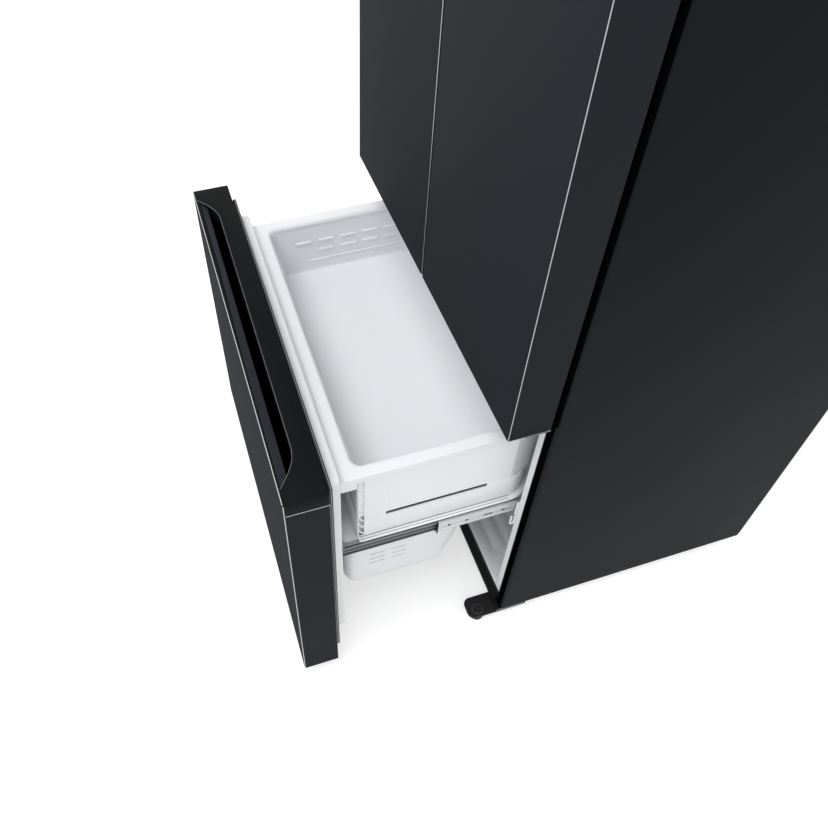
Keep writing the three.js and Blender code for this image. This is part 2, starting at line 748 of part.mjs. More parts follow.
function drawerSkin() {
  const x = [-HALF, HALF];
  const outer = extrudeZ(panelPlan(x, 0, DOOR_THICK), [DRAWER_BOTTOM, DRAWER_TOP]);
  const inner = extrudeZ(panelPlan(x, SHEET, DOOR_THICK + 5), [DRAWER_BOTTOM + SHEET, DRAWER_TOP + 5]);
  const capRoom = box([-HALF - 5, HALF + 5], [SHEET, DOOR_THICK + 5], [CAP.low, DRAWER_TOP + 5]);
  return cut(outer, inner, capRoom);
}

function drawerCap() {
  const slab = box([-HALF, HALF], [SHEET + FIT, DOOR_THICK], [CAP.low + FIT, DRAWER_TOP]);
  return cut(join(slab, pocketSlot(CAP.wall, [CAP.floor, CAP.low + 1])), pocketRoom());
}

// The raised panel on the drawer's back, which leans in a little towards the freezer.
function bulge(inset, [y0, y1]) {
  const ring = (y, lean) => ({
    x: [-BULGE.half + inset + lean, BULGE.half - inset - lean],
    y: [BULGE.low + inset + lean, BULGE.high - inset - lean],
    z: y,
    r: BULGE.corner,
  });
  // drawn lying down, then stood up: its height becomes z
  const turn = new THREE.Matrix4().set(1, 0, 0, 0, 0, 0, 1, 0, 0, 1, 0, 0, 0, 0, 0, 1);
  const lying = stack([ring(y0, 0), ring(y1, BULGE.draft)]);
  lying.applyMatrix4(turn);
  return faceOut(lying);
}

function drawerFoam() {
  const slab = extrudeZ(
    panelPlan([-HALF, HALF], SHEET + FIT, DOOR_THICK - SHEET - 2 * FIT),
    [DRAWER_BOTTOM + SHEET + FIT, CAP.low - FIT],
  );
  const filled = bulge(BULGE.wall + FIT, [DOOR_THICK - 5, BULGE.depth - BULGE.wall - FIT]);
  return cut(join(slab, filled), pocketSlot(CAP.wall + FIT, [CAP.floor - FIT, CAP.low + 5]));
}

function drawerLiner() {
  const edge = SHEET + FIT;
  const plate = box(
    [-HALF + edge, HALF - edge],
    [DOOR_THICK - SHEET, DOOR_THICK],
    [DRAWER_BOTTOM + edge, CAP.low - FIT],
  );
  const raised = bulge(0, [DOOR_THICK - 1, BULGE.depth]);
  return cut(join(plate, raised), bulge(BULGE.wall, [DOOR_THICK - 5, BULGE.depth - BULGE.wall]));
}

const BASKET = {
  half: 344,
  wall: 3,
  lip: 114, // front of the low shelf ahead of the wall
  front: 142,
  back: 505,
  step: 405, // where the tub widens
  shelf: 436,
  edge: 514.2,
  slot: { front: 198, back: 402, low: 502.5 },
  cheekTop: 647,
  flange: { reach: 10.9, thick: 2.5 }, // lies on the slides' inner members
};
const TRAY = {
  half: 344,
  neck: 340.5,
  edge: 347.7, // outside of the rim
  low: 514.5,
  skirt: 648,
  high: 661,
  front: 145,
  flange: 112, // front of the rim
  apron: 628, // lower edge of the rim ahead of the basket
  step: 202.5, // where the wall steps out behind the basket's cheeks
  corner: [
    [344, 450],
    [330, 492],
    [312, 512],
  ],
  rim: 22,
};

// Plan and height of the basket's tub below its step, grown inwards by `inset`.
function basketLower(inset) {
  const rows = [
    [308, 142, 338, 185, 22],
    [316, 130, 348, 197, 24],
    [320, 125, 354, 222, 26],
    [321, 125, 380, 311, 26],
    [322, 126, 402, BASKET.step + 1, 26],
  ];
  return stack(
    rows.map(([half, front, back, z, r], i) => ({
      x: [-half + inset, half - inset],
      y: [front + inset, back - inset],
      z: i ? z : z + inset,
      r: r - inset,
    })),
  );
}

function basketUpper(front, inset, [low, high]) {
  const ring = (z) => ({
    x: [-BASKET.half + inset, BASKET.half - inset],
    y: [front + inset, BASKET.back - inset],
    z,
    r: 54 - inset,
    front: 8 - inset,
  });
  return stack([ring(low), ring(high)], 6);
}

function lowerBasket() {
  const { half, wall, lip, front, step, shelf: ledge, edge, slot, cheekTop, flange } = BASKET;
  const over = CHANNELS.inner.z[1];
  const shell = join(
    basketLower(0),
    basketUpper(lip, 0, [step, ledge]),
    basketUpper(front, 0, [ledge - 1, edge]),
    cut(
      basketUpper(front, -flange.reach, [over + FIT, over + flange.thick]),
      box([-half - 20, half + 20], [front - 20, front + 1], [over - 5, over + 5]),
    ),
  );
  const room = [
    basketLower(wall),
    basketLower(wall).translate(0, 0, 2 * wall), // opens the step between the two
    basketUpper(lip, wall, [step + wall, ledge - wall]),
    basketUpper(front, wall, [ledge - 2 * wall, edge + 5]),
  ];
  const slots = box([-half - 5, half + 5], [slot.front, slot.back], [slot.low, edge + 5]);
  const parts = [cut(shell, ...room, slots)];
  both((side, sign) => {
    const cheek = across(sign, half - wall, half);
    parts.push(box(cheek, [front + 8, TRAY.step - FIT], [edge + FIT, cheekTop]));
    parts.push(box(cheek, [front + 8, slot.front], [edge - 1, edge + 1]));
    parts.push(box(across(sign, half - 14, half - 1), [front + 1, slot.front], [edge - 8, edge]));
  });
  return join(...parts);
}

// The tray's wall steps in ahead of the slots, where it slides past the basket's cheeks.
function trayPlan(grow, neck) {
  const corner = TRAY.corner.map(([x, y], i) => (i < 2 ? [x + grow, y] : [x, y + grow]));
  const half = [[neck, TRAY.front], [neck, TRAY.step], [TRAY.half + grow, TRAY.step], ...corner];
  return [...half, ...half.map(([x, y]) => [-x, y]).reverse()];
}

function upperTray() {
  const { half, neck, edge, low, skirt, high, front, flange, apron, corner, rim } = TRAY;
  const outer = join(
    extrudeZ(trayPlan(0, neck), [low, skirt + 1]),
    extrudeZ(trayPlan(edge - half, edge), [skirt, high]),
    box([-edge, edge], [flange, front + 1], [skirt, high]),
    box([-half + 4, half - 4], [flange, flange + 3], [apron, skirt + 1]),
    ...SIDES.map(([, sign]) => box(across(sign, edge - 3, edge), [flange, front - 4], [apron, skirt + 1])),
  );
  const ring = (inset, z, r) => ({
    x: [-half + inset, half - inset],
    y: [front + inset - 14, corner[2][1] - inset],
    z,
    r,
  });
  return cut(outer, stack([ring(rim + 7, low + 3, 14), ring(rim, high + 1, 20)]));
}

// ---- assembly ----
const cabinet = new THREE.Group();
appliance.add(cabinet);
add(cabinet, 'cabinet_wrapper', cabinetWrapper(), cabinetPaint);
add(cabinet, 'rear_panel', rearPanel(), rearSteel);
add(cabinet, 'machine_room_cover', machineRoomCover(), rearSteel);
add(cabinet, 'fridge_liner', fridgeLiner(), whitePlastic);
add(cabinet, 'freezer_liner', freezerLiner(), whitePlastic);
add(cabinet, 'foam_top', foamTop(), foamYellow);
add(cabinet, 'foam_back', foamBack(), foamYellow);
add(cabinet, 'foam_mullion', foamMullion(), foamYellow);
add(cabinet, 'foam_floor', foamFloor(), foamYellow);
add(cabinet, 'mullion_plate', mullionPlate(), cabinetPaint);
add(cabinet, 'toe_bar', toeBar(), blackPlastic);
add(cabinet, 'base_pan', basePan(), zinc);
add(cabinet, 'compressor', compressor(), compressorBlack);
add(cabinet, 'air_duct', airDuct(), whitePlastic);
add(cabinet, 'evaporator_cover', evaporatorCover(), whitePlastic);
Object.entries(SHELVES).forEach(([name, z]) => add(cabinet, name, shelf(z), glass));

both((side, sign) => {
  add(cabinet, `foam_${side}`, foamSides(sign), foamYellow);
  add(cabinet, `front_leg_${side}`, frontLeg(sign), darkSteel);
  add(cabinet, `top_hinge_${side}`, topHinge(sign), darkSteel);
  add(cabinet, `hinge_cover_${side}`, hingeCover(sign), blackPlastic);
  add(cabinet, `middle_hinge_${side}`, middleHinge(sign), darkSteel);
  add(cabinet, `crisper_${side}`, crisper(sign), clearPlastic);
  add(cabinet, `rail_outer_${side}`, channel(sign, CHANNELS.outer, railSpan()), zinc);
  add(cabinet, `rail_middle_${side}`, channel(sign, CHANNELS.middle, railSpan(-RAIL.travel)), zinc);
  add(cabinet, `rear_roller_${side}`, rearRoller(sign), blackPlastic);
  add(cabinet, `leveling_foot_${side}`, levelingFoot(sign), darkSteel);

  const door = pivotGroup(sign * HINGE.x, HINGE.y);
  add(door, `door_skin_${side}`, doorSkin(sign), graphite);
  add(door, `door_foam_${side}`, doorFoam(sign), foamYellow);
  add(door, `door_liner_${side}`, doorLiner(sign), whitePlastic);
  add(door, `door_gasket_${side}`, gasketRing(doorSpan(sign), [DOOR_BOTTOM, DOOR_TOP]), rubberGrey);
  Object.entries(BINS).forEach(([name, z]) => add(door, `${name}_${side}`, doorBin(sign, z), clearPlastic));
  if (sign < 0) add(door, 'flip_mullion', flipMullion(), cabinetPaint);
});

const drawer = new THREE.Group();
drawer.position.y = -DRAWER_OPEN;
appliance.add(drawer);
add(drawer, 'drawer_skin', drawerSkin(), graphite);
add(drawer, 'drawer_cap', drawerCap(), blackPlastic);
add(drawer, 'drawer_foam', drawerFoam(), foamYellow);
add(drawer, 'drawer_liner', drawerLiner(), whitePlastic);
add(drawer, 'drawer_gasket', gasketRing([-HALF, HALF], [DRAWER_BOTTOM, DRAWER_TOP]), rubberGrey);
add(drawer, 'lower_basket', lowerBasket(), whitePlastic);
add(drawer, 'upper_tray', upperTray(), whitePlastic);
both((side, sign) => add(drawer, `rail_inner_${side}`, innerRail(sign), zinc));

const refrigerator = new THREE.Group();
refrigerator.add(appliance);
export default refrigerator;
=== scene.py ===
"""Finish for the bottom freezer refrigerator: coated sheet, liners, drawer, tray, basket and slides.

Shapes are written in millimetres as (across, depth, height): across to the right, depth measured back from
the shut doors' fronts, height over the floor. Pieces of the drawer are written where they are on the shut
appliance, and land where the drawer stands open.
"""
import json
import math

import bmesh
import bpy
import numpy as np
from mathutils import Euler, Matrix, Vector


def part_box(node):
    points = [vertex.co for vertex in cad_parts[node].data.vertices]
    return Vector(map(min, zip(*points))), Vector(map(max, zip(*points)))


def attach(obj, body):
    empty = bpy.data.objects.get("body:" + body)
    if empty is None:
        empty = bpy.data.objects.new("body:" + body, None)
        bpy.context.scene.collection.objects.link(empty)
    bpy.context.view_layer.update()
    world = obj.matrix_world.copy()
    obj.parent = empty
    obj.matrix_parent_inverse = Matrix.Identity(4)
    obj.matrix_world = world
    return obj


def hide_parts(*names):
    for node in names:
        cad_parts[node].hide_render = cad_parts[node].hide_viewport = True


MM = 0.001
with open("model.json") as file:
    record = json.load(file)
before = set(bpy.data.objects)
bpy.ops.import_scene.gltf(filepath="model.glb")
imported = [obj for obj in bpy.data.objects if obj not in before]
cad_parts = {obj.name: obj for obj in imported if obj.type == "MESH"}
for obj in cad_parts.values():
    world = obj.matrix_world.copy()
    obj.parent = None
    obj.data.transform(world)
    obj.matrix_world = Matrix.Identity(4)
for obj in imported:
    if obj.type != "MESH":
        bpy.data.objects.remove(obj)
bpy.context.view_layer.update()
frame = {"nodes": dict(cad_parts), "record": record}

# ---- places read from the frame ----
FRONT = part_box("door_skin_right")[0].y  # the shut doors' fronts
OPEN_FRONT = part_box("drawer_skin")[0].y  # the open drawer's front
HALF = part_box("drawer_skin")[1].x / MM
DRAWER_LOW, DRAWER_TOP = (corner.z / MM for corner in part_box("drawer_skin"))
DOOR_LOW, DOOR_TOP = (corner.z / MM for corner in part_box("door_skin_right"))
CABINET_LOW, CABINET_TOP = (corner.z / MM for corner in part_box("cabinet_wrapper"))
BACK = (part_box("rear_panel")[1].y - FRONT) / MM

FLANGE = 88.0  # depth of the cabinet's front plane
DOOR_THICK = 77.0
SHEET = 1.5
SEAM_HALF = 2.0  # half the gap between the doors
ROOM_HALF = 368.5  # half the width inside the two rooms
LIP_HALF = 385.2  # half the width of the rooms' front lips
ROOM_BACK = 655.0
SHELF_LEVELS = 1104, 1300, 1500
PIN = 385, 44  # the doors' hinge pins: distance to the middle, depth
POST_PIVOT = -44, 98  # the centre post's pivot: across, depth
FOOT = 389, 39  # the levelling feet: distance to the middle, depth
WHEEL, AXLE = 330, (690, 17)  # the rollers: distance to the middle, and the axle's depth and height
SIDES = (("left", -1), ("right", 1))
DRAWER_BODIES = {"drawer", "tray"}


# ---- camera, floor and light ----
def place_camera():
    """The photograph's camera: above the right front corner, looking down into the drawer."""
    data = bpy.data.cameras.new("camera")
    camera = bpy.data.objects.new("camera", data)
    bpy.context.scene.collection.objects.link(camera)
    camera.location = (1.0649, -0.6301, 1.8719)
    yaw, pitch = math.radians(-72.66), math.radians(-49.24)
    camera.rotation_euler = Euler((math.pi / 2 + pitch, 0, -yaw), "XYZ")
    data.lens, data.sensor_width = 35.78, 36.0
    data.shift_x, data.shift_y = 0.0650, -0.0788
    data.clip_end = 100
    bpy.context.scene.camera = camera


def place_floor():
    """A disc of rings about the origin, whose radius grows by a steady ratio from ring to ring."""
    rings, spokes = 24, 64
    radii = np.geomspace(0.5, 30, rings)[:, None]
    turn = np.linspace(0, 2 * np.pi, spokes, endpoint=False)
    level = np.full((rings, spokes), -0.0005)
    points = np.stack([radii * np.cos(turn), radii * np.sin(turn), level], -1)
    faces = grid_faces(rings, spokes, closed_v=True).tolist() + [list(range(spokes))[::-1]]
    floor = mesh_object("floor", points, faces)
    floor.data.materials.append(pale_floor())


def area_light(name, place, target, size, power):
    """A square white lamp that looks from its place at its target."""
    data = bpy.data.lights.new(name, "AREA")
    data.shape, data.size, data.energy = "SQUARE", size, power
    light = bpy.data.objects.new(name, data)
    light.location = place
    aim = np.array(target) - np.array(place)
    light.rotation_euler = (math.atan2(math.hypot(aim[0], aim[1]), -aim[2]), 0, math.atan2(-aim[0], aim[1]))
    bpy.context.scene.collection.objects.link(light)


def seen_directly(tree):
    """1 for rays from the camera, off a mirror or through glass, and 0 for light."""
    path = tree.nodes.new("ShaderNodeLightPath")
    either = math_node(tree, "MAXIMUM", path.outputs["Is Camera Ray"], path.outputs["Is Glossy Ray"])
    return math_node(tree, "MAXIMUM", either, path.outputs["Is Transmission Ray"])


def place_lights():
    """Soft boxes, with a world that is white where it is seen, and a little dimmer as a light."""
    area_light("key", (0.9, -1.7, 4.6), (0, -0.3, 0.6), 2.6, 110)
    area_light("side", (4.2, 0.2, 2.2), (0, 0, 0.6), 2.4, 14)
    area_light("left", (-3.5, -1.8, 0.85), (0, -0.2, 1.5), 1.4, 36)
    world = bpy.data.worlds.new("studio")
    bpy.context.scene.world = world
    world.use_nodes = True
    tree = world.node_tree
    level = tree.nodes.new("ShaderNodeMapRange")
    set_inputs(tree, level, Value=seen_directly(tree), To_Min=0.92, To_Max=1.0)
    set_inputs(tree, tree.nodes["Background"], Strength=level.outputs["Result"], Color=(1, 1, 1, 1))


# ---- meshes from arrays ----
def mesh_object(name, points, faces):
    """An object in the scene, from points in any grid shape and faces as rows of point numbers."""
    mesh = bpy.data.meshes.new(name)
    mesh.from_pydata(np.asarray(points, float).reshape(-1, 3).tolist(), [], faces)
    mesh.update()
    piece = bpy.data.objects.new(name, mesh)
    bpy.context.scene.collection.objects.link(piece)
    return piece


def grid_faces(rows, columns, closed_u=False, closed_v=False):
    """Quads between neighbours of a grid of rows x columns points, wrapped round where it closes."""
    u = np.arange(rows if closed_u else rows - 1)[:, None]
    v = np.arange(columns if closed_v else columns - 1)[None, :]
    u1, v1 = (u + 1) % rows, (v + 1) % columns
    corners = [u * columns + v, u1 * columns + v, u1 * columns + v1, u * columns + v1]
    return np.stack(corners, -1).reshape(-1, 4)


def shrunk(span, inset):
    """A span drawn in by `inset` at both ends."""
    return span[0] + inset, span[1] - inset


def beside(sign, near, far):
    """A span on one side of the middle, from its two distances, in rising order."""
    return tuple(sorted((sign * near, sign * far)))


def outline(across, along, low=4.0, high=None, steps=6):
    """Rounded rectangle, once round from its lower right corner. `low` and `high` are the corner radii at
    the two ends of `along`, each one number or (across, along). A corner is a quarter of a circle, or of an
    ellipse."""
    turn = np.linspace(0, np.pi / 2, steps + 1)
    fall, rise = np.cos(turn), np.sin(turn)
    (lx, ly), (hx, hy) = (np.broadcast_to(r, 2) for r in (low, low if high is None else high))
    (x0, x1), (y0, y1) = across, along
    corners = [
        (x1 - lx + lx * rise, y0 + ly - ly * fall),
        (x1 - hx + hx * fall, y1 - hy + hy * rise),
        (x0 + hx - hx * rise, y1 - hy + hy * fall),
        (x0 + lx - lx * fall, y0 + ly - ly * rise),
    ]
    return np.concatenate([np.stack(corner, -1) for corner in corners])


def stand(flat, level, axis):
    """Carries (n, 2) points into space, at `level` along `axis`: x, d (depth) or z."""
    held = np.full(len(flat), float(level))
    order = {"x": (held, flat[:, 0], flat[:, 1]), "d": (flat[:, 0], held, flat[:, 1])}
    return np.stack(order.get(axis, (flat[:, 0], flat[:, 1], held)), -1)


def loop(across, along, level, axis, low=4.0, high=None, steps=6, inset=0.0):
    """A rounded rectangle in space, drawn in by `inset` on all four sides."""
    return stand(outline(shrunk(across, inset), shrunk(along, inset), low, high, steps), level, axis)


def loft(name, rings, closed=False):
    """Closed loops joined one to the next. `closed` joins the last to the first, or else both ends get a
    face."""
    grid = np.stack(rings)
    rows, columns = grid.shape[:2]
    faces = grid_faces(rows, columns, closed_u=closed, closed_v=True).tolist()
    if not closed:
        faces += [list(range(columns)), list(range((rows - 1) * columns, rows * columns))]
    return mesh_object(name, grid, faces)


def prism(name, flat, span, axis):
    """A flat section carried straight along an axis."""
    return loft(name, [stand(np.asarray(flat, float), level, axis) for level in span])


def frame_ring(name, across, height, profile, corner=6.0):
    """A profile of (inset, depth) carried round a rounded rectangle that stands up."""
    rings = [loop(across, height, depth, "d", max(corner - i, 1.5), inset=i) for i, depth in profile]
    return loft(name, rings, closed=True)


def both(rows):
    """Rows of boxes on the right side, with the same rows on the left before them."""
    return [[(sign * x0, sign * x1), *other] for _, sign in SIDES for (x0, x1), *other in rows]


def blocks(name, rows, sign=1):
    """One mesh of boxes, from rows of ((x0, x1), (d0, d1), (z0, z1)), which `sign` may send to the left."""
    spans = np.asarray(rows, float)
    spans[:, 0] *= sign
    spans = np.sort(spans, axis=-1)
    corner = [(0, 0), (1, 0), (1, 1), (0, 1)]
    pick = np.array([(*at, top) for top in (0, 1) for at in corner])
    points = np.stack([spans[:, axis, pick[:, axis]] for axis in range(3)], -1)
    quad = [[3, 2, 1, 0], [4, 5, 6, 7], [0, 1, 5, 4], [1, 2, 6, 5], [2, 3, 7, 6], [3, 0, 4, 7]]
    faces = np.arange(len(spans))[:, None, None] * 8 + np.array(quad)
    return mesh_object(name, points, faces.reshape(-1, 4).tolist())


def turned(name, profile, centre, axis="z", steps=40, closed=False):
    """A profile of (radius, level) turned about an axis through `centre`, its two other coordinates. A
    closed profile leaves a bore along the axis."""
    turn = np.linspace(0, 2 * np.pi, steps, endpoint=False)
    rings = []
    for radius, level in profile:
        reach = max(radius, 0.01)
        flat = np.stack([centre[0] + reach * np.cos(turn), centre[1] + reach * np.sin(turn)], -1)
        rings.append(stand(flat, level, axis))
    return loft(name, rings, closed)


def eased_slab(name, across, along, level, corner, ease=0.6):
    """A flat plate with round corners, whose upper and lower edges are chamfered."""
    rows = [(ease, level[0]), (0, level[0] + ease), (0, level[1] - ease), (ease, level[1])]
    return loft(name, [loop(across, along, z, "z", max(corner - i, 0.3), inset=i) for i, z in rows])


def open_tub(name, rows, wall):
    """Rings of (across, along, height, corner) up the outside, over a rounded rim, and down the inside."""
    def ring(row, inset, lift):
        across, along, level, corner = row
        return loop(across, along, level + lift, "z", max(corner - inset, 1.0), steps=7, inset=inset)

    low, top = rows[0], rows[-1]
    rings = [ring(low, 5, 0), ring(low, 1.6, 0.6), ring(low, 0.4, 2.2)]
    rings += [ring(row, 0, 0) for row in rows[1:-1]]
    rings += [ring(top, 0, -0.9), ring(top, 0.8, 0), ring(top, wall - 0.8, 0), ring(top, wall, -0.9)]
    rings += [ring(row, wall, 0) for row in rows[-2:0:-1]]
    rings += [ring(low, wall + 0.6, wall + 3), ring(low, wall + 2.2, wall + 0.8), ring(low, wall + 6, wall)]
    return loft(name, rings)


def along_path(path):
    """A path as an array, and its unit direction at each point."""
    path = np.asarray(path, float)
    way = np.gradient(path, axis=0)
    return path, way / np.linalg.norm(way, axis=1)[:, None]


def tube(name, path, radius, steps=10):
    """A round section carried along points, square to the way they run."""
    path, way = along_path(path)
    up = np.where(np.abs(way[:, 2:]) > 0.95, [[1.0, 0, 0]], [[0, 0, 1.0]])
    side = np.cross(way, up)
    side /= np.linalg.norm(side, axis=1)[:, None]
    top = np.cross(side, way)
    turn = np.linspace(0, 2 * np.pi, steps, endpoint=False)
    round_ = side[:, None] * np.cos(turn)[None, :, None] + top[:, None] * np.sin(turn)[None, :, None]
    return loft(name, list(path[:, None] + radius * round_))


def band(path, thick):
    """A bent strip's section: a path of (a, b) points with half the thickness laid off to each side."""
    path, way = along_path(path)
    off = np.stack([-way[:, 1], way[:, 0]], -1) * thick / 2
    return np.concatenate([path + off, (path - off)[::-1]])


def arc(centre, radius, start, end, steps=6):
    """Points of a circle between two angles in degrees."""
    turn = np.radians(np.linspace(start, end, steps + 1))
    return [(centre[0] + radius * math.cos(t), centre[1] + radius * math.sin(t)) for t in turn]


def mirrored(flat):
    """Closes a right half of (x, d) points with its mirror image."""
    return list(flat) + [(-x, d) for x, d in reversed(flat)]


# ---- joining, cutting, rounding ----
def discard(piece):
    """Deletes an object with its mesh."""
    spare = piece.data
    bpy.data.objects.remove(piece)
    bpy.data.meshes.remove(spare)


def combine(base, tools, operation):
    """Joins or cuts with exact booleans, then deletes the tools."""
    for tool in tools:
        face_out(tool)
        step = base.modifiers.new("join", "BOOLEAN")
        step.operation, step.solver, step.object = operation, "EXACT", tool
    face_out(base)
    evaluated = base.evaluated_get(bpy.context.evaluated_depsgraph_get())
    mesh = bpy.data.meshes.new_from_object(evaluated)
    base.modifiers.clear()
    old, base.data = base.data, mesh
    bpy.data.meshes.remove(old)
    for tool in tools:
        discard(tool)
    return base


def carve(base, *tools):
    """Cuts the tools' solids out of the base."""
    return combine(base, tools, "DIFFERENCE")


def weld(base, *tools):
    """Joins the tools' solids to the base, as one solid."""
    return combine(base, tools, "UNION")


def merge(first, *others, name=None):
    """Puts the others' meshes into the first, as they are, and may rename it."""
    work = bmesh.new()
    work.from_mesh(first.data)
    for other in others:
        work.from_mesh(other.data)
        discard(other)
    work.to_mesh(first.data)
    work.free()
    if name:
        first.name = first.data.name = name
    return first


def face_out(piece):
    """Merges doubled points and turns every face outwards."""
    work = bmesh.new()
    work.from_mesh(piece.data)
    bmesh.ops.remove_doubles(work, verts=work.verts, dist=1e-4)
    bmesh.ops.recalc_face_normals(work, faces=work.faces)
    work.to_mesh(piece.data)
    work.free()


def soften(piece, width, segments=3, angle=32):
    """Rounds the edges where the surface turns by more than `angle` degrees."""
    step = piece.modifiers.new("soft edges", "BEVEL")
    step.width, step.segments = width * MM, segments
    step.limit_method, step.angle_limit = "ANGLE", math.radians(angle)
    step.harden_normals = True
    return piece


def settle(piece, body, material, replaces=(), sharp=32):
    """Carries a piece from written millimetres to its place, shades it, hangs it under its body, and hides
    the nodes it replaces.
    """
    face_out(piece)
    points = np.empty(len(piece.data.vertices) * 3)
    piece.data.vertices.foreach_get("co", points)
    points = points.reshape(-1, 3) * MM
    points[:, 1] += OPEN_FRONT if body in DRAWER_BODIES else FRONT
    piece.data.vertices.foreach_set("co", points.ravel())
    piece.data.polygons.foreach_set("use_smooth", np.ones(len(piece.data.polygons), bool))
    piece.data.set_sharp_from_angle(angle=math.radians(sharp))
    piece.data.update()
    piece.data.materials.clear()
    piece.data.materials.append(material)
    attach(piece, body)
    if replaces:
        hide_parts(*replaces)
    return piece


# ---- shader groups ----
def feed(tree, socket, value):
    """Links an output to a socket, or sets the socket to a constant."""
    if isinstance(value, bpy.types.NodeSocket):
        tree.links.new(value, socket)
    else:
        socket.default_value = value


def set_inputs(tree, node, **values):
    """Feeds the named inputs of a node. An underscore stands for the space in a name."""
    for label, value in values.items():
        feed(tree, node.inputs[label.replace("_", " ")], value)
    return node


def new_group(name, inputs, outputs):
    """A shader group from its inputs' names and defaults and its outputs' names and kinds."""
    group = bpy.data.node_groups.new(name, "ShaderNodeTree")
    for label, value in inputs.items():
        kind = "NodeSocketColor" if isinstance(value, tuple) else "NodeSocketFloat"
        group.interface.new_socket(name=label, in_out="INPUT", socket_type=kind).default_value = value
    for label, kind in outputs.items():
        group.interface.new_socket(name=label, in_out="OUTPUT", socket_type=kind)
    return group, group.nodes.new("NodeGroupInput"), group.nodes.new("NodeGroupOutput")


def math_node(tree, operation, a, b):
    node = tree.nodes.new("ShaderNodeMath")
    node.operation = operation
    feed(tree, node.inputs[0], a)
    feed(tree, node.inputs[1], b)
    return node.outputs[0]


def noise(tree, vector, scale, detail=3.0):
    node = tree.nodes.new("ShaderNodeTexNoise")
    return set_inputs(tree, node, Vector=vector, Scale=scale, Detail=detail).outputs["Fac"]


def mix_colours(tree, factor, a, b):
    node = tree.nodes.new("ShaderNodeMix")
    node.data_type = "RGBA"
    return set_inputs(tree, node, Factor=factor, A=a, B=b).outputs["Result"]


def tone_group():
    """Two close tones that drift into each other over the surface, with a height for a fine surface."""
    grey = (0.5, 0.5, 0.5, 1)
    inputs = {"Tone": grey, "Second Tone": grey, "Drift Scale": 3.0, "Grain Scale": 900.0, "Roughness": 0.4,
              "Roughness Spread": 0.08}
    outputs = {"Color": "NodeSocketColor", "Roughness": "NodeSocketFloat", "Height": "NodeSocketFloat"}
    group, enter, leave = new_group("surface_tone", inputs, outputs)
    asked = enter.outputs
    place = group.nodes.new("ShaderNodeTexCoord").outputs["Object"]
    drift = noise(group, place, asked["Drift Scale"])
    swing = math_node(group, "SUBTRACT", drift, 0.5)
    change = math_node(group, "MULTIPLY", swing, asked["Roughness Spread"])
    set_inputs(
        group, leave,
        Color=mix_colours(group, drift, asked["Tone"], asked["Second Tone"]),
        Roughness=math_node(group, "ADD", asked["Roughness"], change),
        Height=noise(group, place, asked["Grain Scale"], 2.0),
    )
    return group


def brushed_group():
    """Long scratches along the depth, from noise whose place is pressed together in that direction."""
    inputs = {"Length": 0.02, "Scale": 700.0}
    group, enter, leave = new_group("drawn_scratches", inputs, {"Height": "NodeSocketFloat"})
    place = group.nodes.new("ShaderNodeTexCoord").outputs["Object"]
    parts = set_inputs(group, group.nodes.new("ShaderNodeSeparateXYZ"), Vector=place).outputs
    press = math_node(group, "MULTIPLY", parts["Y"], enter.outputs["Length"])
    pressed = group.nodes.new("ShaderNodeCombineXYZ")
    set_inputs(group, pressed, X=parts["X"], Y=press, Z=parts["Z"])
    set_inputs(group, leave, Height=noise(group, pressed.outputs[0], enter.outputs["Scale"], 2.0))
    return group


TONE = tone_group()
SCRATCHES = brushed_group()


# ---- materials ----
def new_material(name):
    material = bpy.data.materials.new(name)
    material.use_nodes = True
    tree = material.node_tree
    return material, tree, tree.nodes["Principled BSDF"]


def place_group(tree, group, **values):
    node = tree.nodes.new("ShaderNodeGroup")
    node.node_tree = group
    return set_inputs(tree, node, **values)


def bump(tree, height, shader, strength, distance, **under):
    """Bends the shader's normals by a height, over the normals `under` it."""
    node = tree.nodes.new("ShaderNodeBump")
    set_inputs(tree, node, Strength=strength, Distance=distance, Height=height, **under)
    set_inputs(tree, shader, Normal=node.outputs["Normal"])


def coated(
    name, tone, second, rough, spread=0.08, drift=3.0, grain=900.0, depth=2e-5, strength=0.25, **fixed
):
    """A moulded, painted or plated surface: two tones, grain, and the shader's own constants in `fixed`."""
    material, tree, shader = new_material(name)
    values = place_group(
        tree, TONE, Tone=(*tone, 1), Second_Tone=(*second, 1), Drift_Scale=drift, Grain_Scale=grain,
        Roughness=rough, Roughness_Spread=spread,
    ).outputs
    set_inputs(tree, shader, Base_Color=values["Color"], Roughness=values["Roughness"], **fixed)
    bump(tree, values["Height"], shader, strength, depth)
    return material


def drawn_metal(name, tone, second, rough):
    """Plated strip with scratches along the slides over the common tones."""
    material = coated(name, tone, second, rough, 0.12, 8.0, 1500.0, Metallic=0.85)
    tree = material.node_tree
    shader = tree.nodes["Principled BSDF"]
    scratches = place_group(tree, SCRATCHES).outputs["Height"]
    bump(tree, scratches, shader, 0.3, 4e-5, Normal=shader.inputs["Normal"].links[0].from_socket)
    return material


def clear_moulding(name, tone, rough, weight=0.85):
    """Clear plastic or glass, whose second tone is a little darker."""
    second = [0.97 * value for value in tone]
    return coated(
        name, tone, second, rough, 0.05, 5.0, 60.0, 2e-4, 0.1, Transmission_Weight=weight, IOR=1.46
    )


def pale_floor():
    """The floor glows a little to the camera and in reflections, so that it joins the white background."""
    material, tree, shader = new_material("pale_floor")
    glow = math_node(tree, "MULTIPLY", seen_directly(tree), 0.5)
    set_inputs(
        tree, shader, Base_Color=(0.62, 0.62, 0.62, 1), Roughness=0.9, Emission_Color=(1, 1, 1, 1),
        Emission_Strength=glow,
    )
    return material


